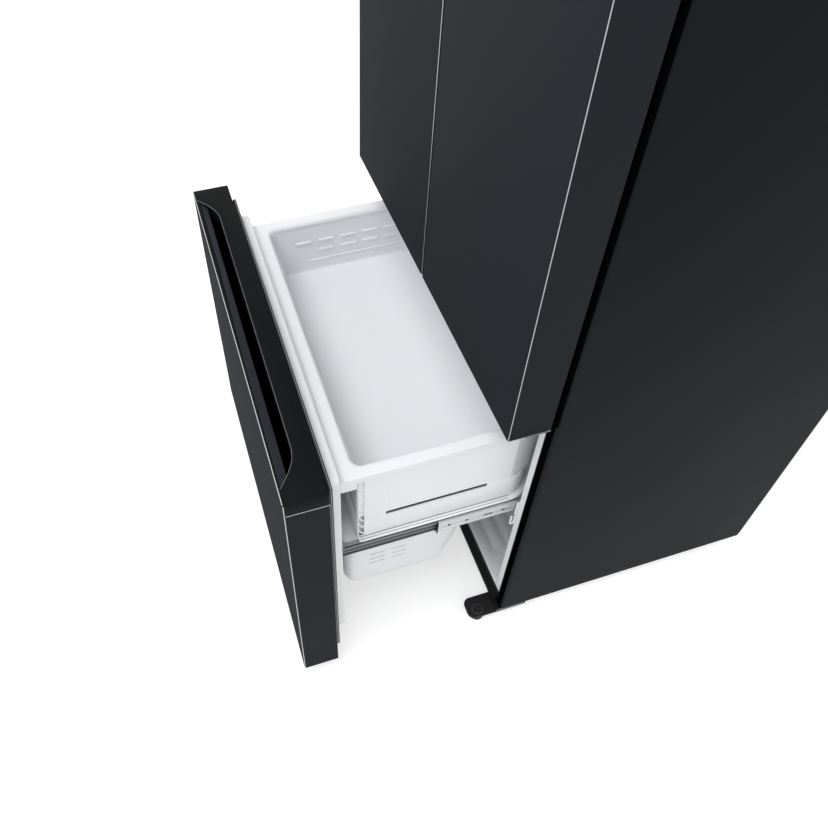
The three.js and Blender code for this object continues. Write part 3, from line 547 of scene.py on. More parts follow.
GRAPHITE = coated(
    "graphite_coat", (0.0150, 0.0164, 0.0205), (0.0165, 0.0180, 0.0222), 0.6, 0.05, 2.0, 1400.0,
    Specular_IOR_Level=0.0, Coat_Weight=0.22, Coat_Roughness=0.62, Coat_IOR=1.35,
)
PAINT = coated(
    "cabinet_paint", (0.0075, 0.0085, 0.0098), (0.0085, 0.0095, 0.0108), 0.5, 0.06, 4.0, 500.0, 6e-5, 0.35,
    Specular_IOR_Level=0.035,
)
BLACK = coated(
    "black_plastic", (0.005, 0.0055, 0.006), (0.007, 0.0075, 0.008), 0.5, 0.1, 12.0, 1100.0, 5e-5, 0.4,
    Specular_IOR_Level=0.05,
)
WHITE = coated(
    "liner_white", (0.80, 0.81, 0.825), (0.78, 0.79, 0.81), 0.3, 0.06, 5.0, 300.0, 3e-5, 0.15,
    Subsurface_Weight=0.04, Subsurface_Scale=0.01,
)
TUB_WHITE = coated(
    "tub_white", (0.79, 0.80, 0.82), (0.77, 0.785, 0.81), 0.36, 0.08, 9.0, 700.0, 3e-5, 0.2,
    Subsurface_Weight=0.05, Subsurface_Scale=0.008,
)
ZINC = drawn_metal("zinc_plate", (0.52, 0.53, 0.55), (0.44, 0.45, 0.47), 0.34)
ZINC_DULL = coated(
    "dull_zinc", (0.15, 0.153, 0.16), (0.20, 0.203, 0.21), 0.45, 0.1, 40.0, Metallic=0.6
)
WORN_STEEL = coated(
    "worn_steel", (0.05, 0.052, 0.055), (0.07, 0.072, 0.075), 0.45, 0.1, 40.0, Metallic=0.6
)
DARK_STEEL = coated(
    "black_steel", (0.010, 0.010, 0.011), (0.014, 0.014, 0.015), 0.4, 0.1, 14.0, 800.0, 6e-5, 0.35,
    Metallic=0.3,
)
REAR = coated(
    "galvanised_sheet", (0.36, 0.37, 0.38), (0.33, 0.34, 0.35), 0.42, 0.12, 26.0, 90.0, 5e-5, 0.2,
    Metallic=0.8,
)
SHELL = coated(
    "compressor_black", (0.006, 0.006, 0.007), (0.010, 0.010, 0.011), 0.28, 0.1, 9.0, 120.0,
    Coat_Weight=0.4, Coat_Roughness=0.1,
)
# Painted highlights: pale strips on rounded edges, standing in for light caught there, bright or dim.
EDGE_HIGHLIGHT = coated(
    "painted_edge_highlight", (0.42, 0.43, 0.45), (0.36, 0.37, 0.39), 0.3, 0.06, 30.0, 1200.0, Metallic=0.7
)
BRIGHT_HIGHLIGHT = coated(
    "painted_bright_highlight", (0.60, 0.61, 0.63), (0.52, 0.53, 0.55), 0.35, 0.06, 30.0, 1200.0, Metallic=0.3
)
DIM_HIGHLIGHT = coated("painted_dim_highlight", (0.10, 0.103, 0.11), (0.08, 0.083, 0.09), 0.4, 0.06, 30.0, 1200.0)
# Painted shade: a dead black laid over bends and gaps that the doors shade.
PAINTED_SHADE = coated(
    "painted_gap_shade", (0.0015, 0.0015, 0.0016), (0.002, 0.002, 0.0021), 0.8, Specular_IOR_Level=0.0
)
# A lighter copy of the graphite sheet, painted as if lit, for the pocket's slope and bed.
POCKET_PAINTED_LIT = coated(
    "pocket_lining_painted_lit", (0.026, 0.028, 0.036), (0.031, 0.033, 0.041), 0.5, 0.05, 3.0, 1200.0,
    Specular_IOR_Level=0.1,
)
SEAL = coated(
    "gasket_rubber", (0.016, 0.017, 0.018), (0.022, 0.023, 0.025), 0.5, 0.1, 10.0, 600.0,
    Specular_IOR_Level=0.3,
)
# Painted highlight: a pale line on the dark seal, where its fold catches light.
SEAL_HIGHLIGHT = coated("painted_seal_highlight", (0.34, 0.345, 0.35), (0.40, 0.405, 0.41), 0.5, 0.1, 12.0, 600.0)
TYRE = coated("tyre_black", (0.008, 0.008, 0.008), (0.014, 0.014, 0.014), 0.62, 0.1, 30.0)
FOAM = coated("rigid_foam", (0.62, 0.52, 0.25), (0.72, 0.62, 0.34), 0.85, 0.1, 30.0, 240.0, 8e-4, 0.6)
CLEAR = clear_moulding("clear_moulding", (0.93, 0.96, 0.97), 0.06)
GLASS = clear_moulding("tempered_glass", (0.90, 0.97, 0.95), 0.02, 0.95)

NODE_LOOKS = {
    "graphite_steel": GRAPHITE, "cabinet_paint": PAINT, "rear_steel": REAR, "black_plastic": BLACK,
    "white_plastic": WHITE, "clear_plastic": CLEAR, "foam": FOAM, "zinc_steel": ZINC,
    "dark_steel": DARK_STEEL, "compressor_black": SHELL, "gasket_rubber": SEAL, "glass": GLASS,
}


def dress_nodes():
    """Gives every carried-over node the finish of its slot in the record."""
    slots = {row["node"]: row["material_slot"] for row in frame["record"]["subparts"]}
    for name, node in frame["nodes"].items():
        node.data.materials.clear()
        node.data.materials.append(NODE_LOOKS[slots[name]])


# ---- sheet metal fronts ----
def front_panel(name, across, height, depth):
    """A wrapped sheet: its upright edges turn back round a small radius, its level edges are only eased,
    and its walls go back to `depth`, one sheet thick."""
    radius, ease = 4.0, 0.5
    rings = []
    for turn in np.linspace(0, math.pi / 2, 7):
        inset, back = radius * (1 - math.sin(turn)), radius * (1 - math.cos(turn))
        upright = shrunk(height, ease * (inset > 0))
        rings.append(loop(shrunk(across, inset), upright, back, "d", 0.4, steps=2))
    rings.append(loop(across, height, depth, "d", 0.4, steps=2))
    rings += [loop(across, height, level, "d", 0.4, steps=2, inset=SHEET) for level in (depth, 5.0)]
    rings.append(loop(shrunk(across, SHEET + 2.5), shrunk(height, SHEET), SHEET + 0.1, "d", 0.4, steps=2))
    return loft(name, rings)


def painted_edge_line(name, x, sign, height, reach=14, lean=48):
    """A painted line on a front sheet's rounded edge: a narrow band a hair proud of the panel's rounded
    edge, which carries a painted highlight, and in the right door's seam painted shade.
    """
    middle = 270 + sign * lean
    path = arc((x - sign * 4.0, 4.0), 4.1, middle - reach, middle + reach, 4)
    return prism(name, band(path, 0.25), height, "z")


def dress_drawer_front():
    """The drawer's sheet with painted highlights on its edges, each let into a groove: bright along the top
    and under the cap's two ends, dim down the rear edges."""
    across, cap_low, line = (-HALF, HALF), 707.0, 1.2
    skin = front_panel("drawer_front", across, (DRAWER_LOW, DRAWER_TOP), DOOR_THICK)
    room = blocks("cap_room", [[shrunk(across, -9), (SHEET, DOOR_THICK + 9), (cap_low, DRAWER_TOP + 9)]])
    rim = (HALF - 0.6, HALF)
    bright = [[rim, (3.6, DOOR_THICK), (cap_low - line, cap_low)]]
    dim = [[rim, (DOOR_THICK - 1.0, DOOR_THICK), (DRAWER_LOW, cap_low - line)]]
    grooves = both([
        [(x0, x1 + 5), (d0, d1 + 5), (z0, z1 + line)] for (x0, x1), (d0, d1), (z0, z1) in bright + dim
    ])
    grooves.append([shrunk(across, 4), (-5, 1.4), (DRAWER_TOP - 0.15, DRAWER_TOP + 5)])
    skin = carve(skin, room, *[blocks("groove", [groove]) for groove in grooves])
    settle(skin, "drawer", GRAPHITE, ["drawer_skin"])
    # Painted highlights along the sheet's top, under the cap's ends and down its rear edges.
    top = [[shrunk(across, 4), (0.1, 1.4), (DRAWER_TOP - 0.15, DRAWER_TOP)]]
    for name, rows, look in (
        ("drawer_cap_highlights", both(bright), BRIGHT_HIGHLIGHT),
        ("drawer_rear_highlights", both(dim), DIM_HIGHLIGHT),
        ("drawer_top_highlight", top, BRIGHT_HIGHLIGHT),
    ):
        settle(blocks(name, rows), "drawer", look)
    # Painted highlights down the sheet's rounded sides.
    for side, sign in SIDES:
        strip = painted_edge_line(f"drawer_edge_highlight_{side}", sign * HALF, sign, (DRAWER_LOW, DRAWER_TOP))
        settle(strip, "drawer", EDGE_HIGHLIGHT)
    dress_drawer_cap(cap_low)


def pocket_plan(corner, grow=0.0):
    """Plan of the pocket from the corner at its front, its rear corners rounded into a soft bend."""
    bend = [(352, 22), (345, 26.6), (336, 31.6), (327, 35.6), (316, 38.6), (305, 40), (290, 40.2)]
    half = [(corner[0] + 3 * grow, corner[1] - grow)] + [(x + grow, d + grow) for x, d in bend]
    return np.array(mirrored(half), float)


def dress_drawer_cap(low):
    """A black moulding: a ledge slopes down behind the front's edge into a slot for the fingers."""
    rings = [
        loop((-HALF, HALF), (SHEET + 0.3, DOOR_THICK), DRAWER_TOP - drop, "z", 1.0, 3.0, inset=inset)
        for inset, drop in ((0.0, DRAWER_TOP - low - 0.3), (0.0, 1.2), (0.35, 0.35), (1.2, 0.0))
    ]
    slot, mouth = (355.5, 21.0), (374, 5)  # the pocket's front corners, at its bottom and at its top
    bottom, step = 697, 728
    tub = prism("tub", pocket_plan(slot, 2.0), (bottom - 3, low + 2), "z")
    cap = weld(loft("drawer_cap_trim", rings), tub)
    levels = [(slot, bottom), (slot, step), (mouth, DRAWER_TOP), (mouth, DRAWER_TOP + 9)]
    cap = carve(cap, loft("room", [stand(pocket_plan(corner), z, "z") for corner, z in levels]))
    settle(soften(cap, 0.7, 2, 40), "drawer", BLACK, ["drawer_cap"])
    # A painted highlight round the pocket's mouth.
    line = tube("pocket_highlight", stand(pocket_plan(mouth, 0.35), DRAWER_TOP - 0.05, "z"), 0.35, 6)
    settle(line, "drawer", EDGE_HIGHLIGHT)
    settle(pocket_ledge(mouth, slot, step + 0.3), "drawer", POCKET_PAINTED_LIT)
    # The pocket's bed, painted lighter as if lit.
    bed = prism("pocket_bed", pocket_plan(slot, -0.4), (bottom, bottom + 0.6), "z")
    settle(bed, "drawer", POCKET_PAINTED_LIT)


def pocket_ledge(mouth, slot, level):
    """The lining of the slope behind the front's edge: a ruled strip, 0.3 mm off the moulding, painted
    lighter than the sheet as if lit.
    """
    rings = []
    for sign in (-1.0, 1.0):
        top = np.array([sign * (mouth[0] - 2), mouth[1] + 0.3, DRAWER_TOP - 0.7])
        low = np.array([sign * (slot[0] - 1), slot[1] - 0.2, level])
        rings.append([top, low, low + (0, 0.35, 0.5), top + (0, 0.35, 0.5)])
    return loft("pocket_ledge", rings)


def dress_drawer_back():
    """The white inner panel: a thin plate with a raised field whose rim is round and whose middle is sunk,
    over a block of foam with a smaller field."""
    side, foot, head = 42.7, 53.2, 17.2  # from the plate's edges to the raised field

    def ring(inset_x, inset_z, depth, corner):
        height = 41.8 + inset_z, 706.7 - inset_z * (head / foot)
        return loop(shrunk((-406.7, 406.7), inset_x), height, depth, "d", corner, steps=8)

    field = [(-3, 77, 17), (-1, 77.8, 15), (0, 80, 14)]
    for turn in np.linspace(0, math.pi / 2, 7):
        field.append((2 + 5 * (1 - math.cos(turn)), 103 + 5 * math.sin(turn), 14))
    field += [(30, 108, 12), (34, 106.5, 12), (38, 103, 12), (44, 102, 10)]
    rings = [ring(0, 0, 75.5, 2), ring(0, 0, 77, 2)]
    rings += [ring(side + shift, foot + shift, depth, corner) for shift, depth, corner in field]
    settle(loft("drawer_inner_panel", rings), "drawer", WHITE, ["drawer_liner"])
    rows = [(2, 2, 2, 3), (2, 2, 75.2, 3), (56, 66, 75.4, 12), (56, 66, 98, 12), (62, 72, 101, 10)]
    settle(loft("drawer_core", [ring(*row) for row in rows]), "drawer", FOAM, ["drawer_foam"])


def seal(name, across, height, body, node):
    """A magnetic seal: a flat lip, two folds and a round magnet chamber, carried round the door's back,
    with a paler bead round its outside, whose pale tone is a painted highlight on the fold."""
    start, end = DOOR_THICK + 0.6, FLANGE - 0.4
    chamber = [
        (0.6, start), (2.6, start + 1.6), (2.6, start + 2.6), (0.2, start + 4.0), (0.0, start + 5.2),
        (0.0, end - 0.8), (0.8, end), (11.2, end), (12.0, end - 0.8), (12.0, start + 5.2),
        (11.8, start + 4.0), (9.4, start + 2.6), (9.4, start + 1.6), (11.4, start),
    ]
    # The bead's pale tone is a painted highlight.
    bead = [(0.5, end - 3.4), (0.0, end - 3.2), (0.0, end - 2.4), (0.5, end - 2.2)]
    for label, profile, inset, look, nodes in (
        (name, chamber, 22, SEAL, [node]),
        (f"{name}_lip", bead, 21.6, SEAL_HIGHLIGHT, []),
    ):
        ring = frame_ring(label, shrunk(across, inset), shrunk(height, inset), profile)
        settle(ring, body, look, nodes)


# ---- doors ----
def door_grip(sign, grow, low):
    """The hollow for the fingers in a door's underside, `grow` wider all round, as a solid from `low`."""
    across, along, ceiling = beside(sign, 72 - grow, 328 + grow), (15 - grow, 51 + grow), 780
    rings = [loop(across, along, level, "z", 5.0 + grow) for level in (low, ceiling - 2 + grow)]
    return loft("grip", rings + [loop(across, along, ceiling + grow, "z", inset=2)])


def dress_door(side, sign):
    """A door's sheet, its black end caps with the grip in the lower one, its seal, and painted highlights
    and painted shade on its edges.
    """
    body, cap = f"door_{side}", 11.0
    across, height = beside(sign, SEAM_HALF, HALF), (DOOR_LOW, DOOR_TOP)
    skin = front_panel(f"door_front_{side}", across, height, DOOR_THICK)
    wide, behind = shrunk(across, -9), (SHEET, DOOR_THICK + 9)
    ends = blocks("ends", [
        [wide, behind, (DOOR_LOW - 9, DOOR_LOW + cap)],
        [wide, behind, (DOOR_TOP - cap, DOOR_TOP + 9)],
    ])
    rim, foot_line = HALF - 0.4, DOOR_LOW + 1.7
    groove = blocks("groove", [[(rim, HALF + 5), (4, 90), (DOOR_LOW - 5, foot_line)]], sign)
    skin = carve(skin, ends, groove, door_grip(sign, 1.5, DOOR_LOW), *pin_bores(sign))
    settle(skin, body, GRAPHITE, [f"door_skin_{side}"])
    for name, low in (("low", DOOR_LOW), ("high", DOOR_TOP - cap + 0.3)):
        rings = [
            loop(across, (SHEET + 0.3, DOOR_THICK), low + up, "z", 1.0, 3.0, inset=i)
            for i, up in ((0.8, 0.0), (0.0, 0.8), (0.0, cap - 1.1), (0.8, cap - 0.3))
        ]
        trim = carve(loft(f"door_cap_{name}_{side}", rings), *pin_bores(sign))
        if name == "low":
            trim = weld(trim, door_grip(sign, 1.4, DOOR_LOW + 4))
            trim = carve(trim, door_grip(sign, 0.0, DOOR_LOW - 9))
        settle(trim, body, BLACK)
    seal(f"door_seal_{side}", across, height, body, f"door_gasket_{side}")
    # A painted highlight down the door's outer edge.
    strip = painted_edge_line(f"door_edge_highlight_{side}", sign * HALF, sign, height, 9)
    settle(strip, body, EDGE_HIGHLIGHT)
    # At the seam: a painted highlight on the left door, painted shade on the right one.
    lean, look = (48, EDGE_HIGHLIGHT) if sign < 0 else (12, PAINTED_SHADE)
    seam = painted_edge_line(f"door_seam_painted_{side}", sign * SEAM_HALF, -sign, height, 9, lean)
    settle(seam, body, look)
    # A painted highlight along the door's foot.
    foot = [[(rim, HALF), (4, DOOR_THICK - 1), (DOOR_LOW, foot_line)]]
    settle(blocks(f"door_foot_highlight_{side}", foot, sign), body, BRIGHT_HIGHLIGHT)


def pin_bores(sign):
    """The bores for a door's two hinge pins, as cutting tools."""
    return [
        turned("bore", [(6.0, low), (6.0, high)], (sign * PIN[0], PIN[1]), steps=24)
        for low, high in ((DOOR_LOW - 9, DOOR_LOW + 26), (DOOR_TOP - 26, DOOR_TOP + 9))
    ]


# ---- cabinet ----
def dress_cabinet_shell():
    """Steel bent round both sides and the top: one section carried up, across and down, mitred at the top.
    Strips of painted shade lie over its front bends, where the shut doors shade them."""
    edge, back = 8.0, BACK - SHEET - 0.3
    centre = (edge, FLANGE + edge)
    section = [(0, back), *arc(centre, edge, 180, 270, 8), (23, FLANGE), (23, FLANGE + SHEET)]
    section += [*arc(centre, edge - SHEET, 270, 180, 8), (SHEET, back)]
    grid = []
    for inset, depth in section:
        x, top = HALF - inset, CABINET_TOP - inset
        grid.append([(-x, depth, CABINET_LOW), (-x, depth, top), (x, depth, top), (x, depth, CABINET_LOW)])
    count = len(section)
    faces = grid_faces(count, 4, closed_u=True).tolist()
    faces += [[4 * k for k in range(count)], [4 * k + 3 for k in range(count)]]
    shell = mesh_object("cabinet_shell", grid, faces)
    settle(shell, "cabinet", PAINT, ["cabinet_wrapper"])
    bends = ("low", 240, (CABINET_LOW + 1, DOOR_LOW)), ("high", 212, (DOOR_LOW, CABINET_TOP - 24))
    for side, sign in SIDES:
        for part, start, height in bends:
            # Painted shade over the front bend.
            path = arc(centre, edge + 0.12, start, 270, 6) + [(20, FLANGE - 0.12)]
            line = [(sign * (HALF - inset), depth) for inset, depth in path]
            strip = prism(f"flange_{part}_{side}", band(line, 0.2), height, "z")
            settle(strip, "cabinet", PAINTED_SHADE)


def room_skin(name, ring, back_insets, depths, bends, highlight_line, steps=6):
    """A room as one skin: the back wall, the walls coming forward, the lip, and the same way back outside.
    `ring` gives the room's outline, drawn out by an inset, at a depth."""
    inside = [ring(inset, depth) for inset, depth in zip(back_insets, (ROOM_BACK, 654, 651))]
    inside += [ring(0, depth) for depth in depths]
    inside += [ring(0, FLANGE + 1.2), ring(0.35, FLANGE + 0.35), ring(1.2, FLANGE)]
    fronts = (FLANGE, FLANGE + SHEET)
    rims = [loop((-LIP_HALF, LIP_HALF), highlight_line, depth, "d", 2.0, steps=steps) for depth in fronts]
    outside = [ring(SHEET, depth) for depth in (FLANGE + SHEET, *bends, ROOM_BACK)]
    return loft(name, inside + rims + outside + [ring(-4, ROOM_BACK + SHEET)])


def freezer_ring(inset, depth):
    """The freezer room's outline at a depth: the floor climbs over the machine room behind 400."""
    floor = np.interp(depth, [400, 440], [78, 340])
    return loop((-ROOM_HALF, ROOM_HALF), (floor, 705), depth, "d", 9.0 + inset, inset=-inset)


def dress_freezer_room():
    """The white freezer room, with grooves across its floor."""
    depths = (646, 444, 440, 436, 420, 404, 400, 396, 200)
    room = room_skin("freezer_room", freezer_ring, (-12, -5, -1.5), depths, (200, 400, 440), (76.3, 722.0))
    settle(carve(room, floor_grooves()), "cabinet", WHITE, ["freezer_liner"])


def floor_grooves():
    """Shallow round-ended troughs with sloped walls across the floor on both sides, as one tool."""
    return merge(*[
        loft("groove", [
            loop(beside(sign, 150, 285), (front, front + 15), level, "z", 7.4 + grow, steps=8, inset=-grow)
            for grow, level in ((-2.2, 77.0), (0.0, 78.05), (1.0, 79.0))
        ])
        for _, sign in SIDES for front in np.arange(112, 380, 34.5)
    ])


def dress_toe():
    """The black bar across the front under the freezer room."""
    low, back = CABINET_LOW + 0.3, 91
    section = [(77, low), (77, 41), (88, 60), (88, 75.7), (back, 75.7), (back, low)]
    bar = prism("toe_trim", section, (-LIP_HALF, LIP_HALF), "x")
    settle(soften(bar, 0.8, 3, 20), "cabinet", BLACK, ["toe_bar"])


def dress_leg(side, sign):
    """The pressed leg plate, round nosed, with an eased edge and folded walls, and the foot under it with
    its nut and ring."""
    inner, outer, front, back, wall = 357, 407.5, 14, 153, 3
    bolt, fold = (sign * FOOT[0], FOOT[1]), 79
    rings = [
        loop(shrunk(beside(sign, inner, outer), i), (front + i, back), z, "z", 16 - i, 0.6, steps=8)
        for i, z in ((0.8, 18.0), (0.0, 18.8), (0.0, 21.2), (0.8, 22.0))
    ]
    half = [(outer, back), (outer, fold), (inner, fold), (inner, back), (inner + wall, back)]
    half += [(inner + wall, fold + wall), (outer - wall, fold + wall), (outer - wall, back)]
    walls = prism("walls", [(sign * x, d) for x, d in half], (21, CABINET_LOW - 0.3), "z")
    bore = turned("bore", [(6.8, 10), (6.8, 30)], bolt, steps=28)
    plate = carve(weld(loft(f"leg_plate_{side}", rings), walls), bore)
    settle(plate, "cabinet", DARK_STEEL, [f"front_leg_{side}"])
    profile = [(7.2, 22.05), (11, 22.05), (11, 23.6), (10.2, 24.4), (8, 24.4), (7.2, 23.8)]
    nut = turned(f"leg_nut_{side}", profile, bolt, steps=6)
    settle(nut, "cabinet", DARK_STEEL, sharp=20)
    ring = turned(f"leg_ring_{side}", [(12.2, 22.02), (13.4, 22.02), (13.4, 22.4), (12.2, 22.4)], bolt)
    settle(ring, "cabinet", WORN_STEEL)
    profile = [
        (0.01, 0), (16, 0), (17, 1), (17, 5.5), (15.5, 7.5), (11, 8), (10, 9), (10, 14), (9, 15), (6, 15.2),
        (6, 33), (5.2, 34), (0.01, 34),
    ]
    foot = turned(f"foot_pad_{side}", profile, bolt, steps=36)
    settle(foot, f"foot_{side}", DARK_STEEL, [f"leveling_foot_{side}"])


# ---- hinges ----
def dress_top_hinge(side, sign):
    """A plate with a pin under a domed cover, whose shoulder follows a quarter ellipse."""
    low, pin = CABINET_TOP + 0.3, (sign * PIN[0], PIN[1])
    plate = eased_slab(f"top_hinge_plate_{side}", beside(sign, 352, 400), (28, 168), (low, low + 3.7), 9)
    stem = turned("pin", [(4.2, DOOR_TOP - 23), (5, DOOR_TOP - 22), (5, low + 1)], pin, steps=28)
    settle(weld(plate, stem), "cabinet", DARK_STEEL, [f"top_hinge_{side}"])
    rows = [(0.6, 0.0), (0.0, 0.8), (0.0, 15.0)]
    rows += [(12 * (1 - math.cos(t)), 15 + 12.4 * math.sin(t)) for t in np.linspace(0.15, math.pi / 2, 9)]
    rings = [
        loop(beside(sign, 340, HALF - 0.5), (14, 184), low + up, "z", max(14 - i, 2), steps=8, inset=i)
        for i, up in rows
    ]
    hollow = blocks("hollow", [[(351, 401), (27, 169), (low - 5, low + 4)]], sign)
    hood = carve(loft(f"hinge_hood_{side}", rings), hollow)
    settle(hood, "cabinet", BLACK, [f"hinge_cover_{side}"])
    head = [(3.6, low + 27.3), (3.6, low + 27.45), (2.2, low + 27.5)]
    settle(turned(f"hood_screw_{side}", head, (sign * 374, 130)), "cabinet", WORN_STEEL)


def dress_middle_hinge(side, sign):
    """A bracket that is bent to the front plane, with a washer and a pin that the door turns on."""
    back, pin = FLANGE - 0.3, (sign * PIN[0], PIN[1])
    arm = eased_slab(f"middle_bracket_{side}", beside(sign, 360, 405), (29, back), (743, 747), 10)
    foot = [loop(beside(sign, 345, 384), (728, 762), depth, "d", 5.0) for depth in (back - 3, back)]
    profile = [(9, 746.5), (9, 750.4), (8.4, 751)]
    profile += [(5, DOOR_LOW - 0.4), (5, DOOR_LOW + 22), (4.2, DOOR_LOW + 23)]
    bracket = weld(arm, loft("foot", foot), turned("pin", profile, pin, steps=28))
    settle(bracket, "cabinet", DARK_STEEL, [f"middle_hinge_{side}"])
    head = [(3.4, back - 4.6), (3.8, back - 3.9), (3.8, back - 2.8)]
    heads = [turned("screw", head, (sign * 352, z), "d", 20) for z in (735, 755)]
    settle(merge(*heads, name=f"bracket_screws_{side}"), "cabinet", ZINC)


# ---- insides of the doors ----
def dress_door_back(side, sign):
    """The door's white back: a plate under a raised ring of one thickness, round-edged, with two bins in
    it. The left one also holds the centre post's two pivots."""
    body, gap, base = f"door_{side}", 1.8, DOOR_THICK - 1
    deep, wide, wall, bend = 138.0, 32.0, 2.0, 5.0  # the raised ring
    across, height = beside(sign, SEAM_HALF + gap, HALF - gap), (DOOR_LOW + gap, DOOR_TOP - gap)
    parts = [blocks("plate", [[across, (DOOR_THICK - SHEET, DOOR_THICK), height]])]
    quarter = [(bend * math.sin(t), bend * math.cos(t)) for t in np.linspace(0, math.pi / 2, 6)]
    profile = [(0.0, base)] + [(bend - fall, deep - bend + rise) for rise, fall in quarter]
    profile += [(wide - bend + rise, deep - bend + fall) for rise, fall in quarter] + [(wide, base)]
    profile += [(wide - wall, base), (wide - wall, deep - wall), (wall, deep - wall), (wall, base)]
    ring = frame_ring(f"door_ring_{side}", beside(sign, 60, 350), (797, 1697), profile, 3.0)
    if sign < 0:
        x, depth = POST_PIVOT
        heights = (789, 799.7), (1692.3, 1703)
        parts += [turned("post", [(6.2, z) for z in height], POST_PIVOT, steps=24) for height in heights]
        parts += [blocks("arm", [[(x - 5, x + 5), (base, depth), height]]) for height in heights]
    ring = weld(ring, *parts)
    settle(soften(ring, 0.4, 2, 60), body, WHITE, [f"door_liner_{side}"])
    for name, low in (("lower", 850), ("middle", 1200)):
        rows = [
            (beside(sign, 96.5 - out, 313.5 + out), (78, 160 + 2 * out), low + up, 14)
            for up, out in ((0, 0.0), (30, 1.0), (70, 2.5), (112, 4.0))
        ]
        tub = open_tub(f"bin_{name}_tub_{side}", rows, 2.5)
        settle(tub, body, CLEAR, [f"bin_{name}_{side}"])


def dress_centre_post():
    """The folded post between the doors: a long case with a round pivot edge and a thin steel face."""
    plan = arc(POST_PIVOT, 9, 180, 360, 14) + arc((-37, 174), 2, 0, 90, 4) + arc((-51, 174), 2, 90, 180, 4)
    post = prism("centre_post_case", plan, (800, 1692), "z")
    settle(soften(post, 0.8, 2, 50), "centre_post", PAINT, ["flip_mullion"])


# ---- inside of the fridge room ----
def fridge_ring(inset, depth):
    """The fridge room's outline, the same at every depth."""
    return loop((-ROOM_HALF, ROOM_HALF), (785, 1708), depth, "d", 14.0 + inset, steps=7, inset=-inset)


def dress_fridge_room():
    """The white fridge room, with bearers for the shelves along both side walls."""
    room = room_skin("fridge_room", fridge_ring, (-14, -6, -2), (645,), (), (768, 1724.7), steps=7)
    bearers = [[(358.5, 368.8), (200, 612), (z - 9, z - 0.3)] for z in SHELF_LEVELS]
    room = merge(room, blocks("bearers", both(bearers)))
    settle(soften(room, 1.2, 2, 60), "cabinet", WHITE, ["fridge_liner"])


def dress_shelves():
    """Glass plates with ground edges, each held in a grooved strip along its front."""
    for name, low in zip(("crisper_cover", "shelf_lower", "shelf_upper"), SHELF_LEVELS):
        plate = eased_slab(f"{name}_glass", (-366, 366), (200, 612), (low, low + 5), 6, 0.5)
        settle(plate, "cabinet", GLASS, [name])
        section = [(196, low - 2), (196, low + 7), (206, low + 7), (206, low + 5.2), (199.8, low + 5.2)]
        section += [(199.8, low - 0.2), (206, low - 0.2), (206, low - 2)]
        trim = prism(f"{name}_trim", section, (-357, 357), "x")
        settle(soften(trim, 0.8, 2), "cabinet", WHITE)


def dress_crisper(side, sign):
    """A clear tub with a little draft, and a solid pull across its front."""
    rows = [
        (beside(sign, 14 - out, 352 + out * 5 / 6), shrunk((186, 590), -out * 4 / 3), 789 + up, 20)
        for up, out in ((0, 0.0), (60, 1.2), (180, 3.7), (289, 6.0))
    ]
    tub = open_tub(f"crisper_tub_{side}", rows, 3.0)
    settle(tub, "cabinet", CLEAR, [f"crisper_{side}"])
    section = [(177.4, 1074), (171.5, 1074), (170.5, 1071), (170.5, 1052)]
    section += [(172.5, 1051), (173.5, 1066), (177.9, 1068)]
    pull = prism(f"crisper_pull_{side}", section, beside(sign, 60, 300), "x")
    settle(soften(pull, 0.8, 2), "cabinet", WHITE)


def louvres(across, height, pitch, depth):
    """Level slots, one above the other, as one cutting tool."""
    return merge(*[
        loft("slot", [loop(across, (z, z + 5), d, "d", 2.4) for d in (depth - 5, depth + 12)])
        for z in np.arange(*height, pitch)
    ])


def dress_ducts():
    """The cold air duct and the evaporator's cover, round-edged housings with rows of slots, and the strip
    between the two rooms."""
    duct = blocks("air_duct_case", [[(-90, 90), (622, 654.7), (1125, 1690)]])
    tools = [
        louvres(beside(sign, 24, 78), (z, z + 25), 10, 622) for z in (1165, 1365, 1565) for _, sign in SIDES
    ]
    settle(soften(carve(duct, *tools), 3, 3, 60), "cabinet", WHITE, ["air_duct"])
    cover = blocks("evaporator_case", [[(-352, 352), (600, 654.7), (340.3, 698)]])
    tools = [louvres((-300, 300), (640, 680), 12, 600), louvres((-260, 260), (365, 395), 12, 600)]
    settle(soften(carve(cover, *tools), 4, 3, 60), "cabinet", WHITE, ["evaporator_cover"])
    strip = blocks("mullion_strip", [[(-LIP_HALF, LIP_HALF), (FLANGE, FLANGE + SHEET), (722.3, 767.7)]])
    settle(soften(strip, 0.4, 2), "cabinet", PAINT, ["mullion_plate"])


# ---- back and machine room ----
def dress_back():
    """The rear sheet, stamped with upright beads: its depth is BACK less a cosine bump across each bead,
    faded out towards the bead's two ends."""
    low, high, pitch, half, rows = 292.0, CABINET_TOP, 116.0, 6.5, 60
    across, up = np.linspace(-HALF, HALF, 401), np.linspace(low, high, rows)
    nearest = np.abs(across - np.round(across / pitch) * pitch)
    beaded = (nearest < half) & (np.abs(across) < 380)
    swell = np.where(beaded, 0.5 + 0.5 * np.cos(np.pi * nearest / half), 0.0)
    fade = np.clip(np.minimum(up - low - 60, high - 60 - up) / 25, 0, 1)
    rings = []
    for x, height in zip(across, swell):
        face = np.stack([np.full(rows, x), BACK - 1.3 * height * fade, up], -1)
        back = np.stack([np.full(rows, x), np.full(rows, BACK - SHEET), up], -1)
        rings.append(np.concatenate([face, back[::-1]]))
    settle(loft("rear_sheet", rings), "cabinet", REAR, ["rear_panel"])
    dress_machine_cover()


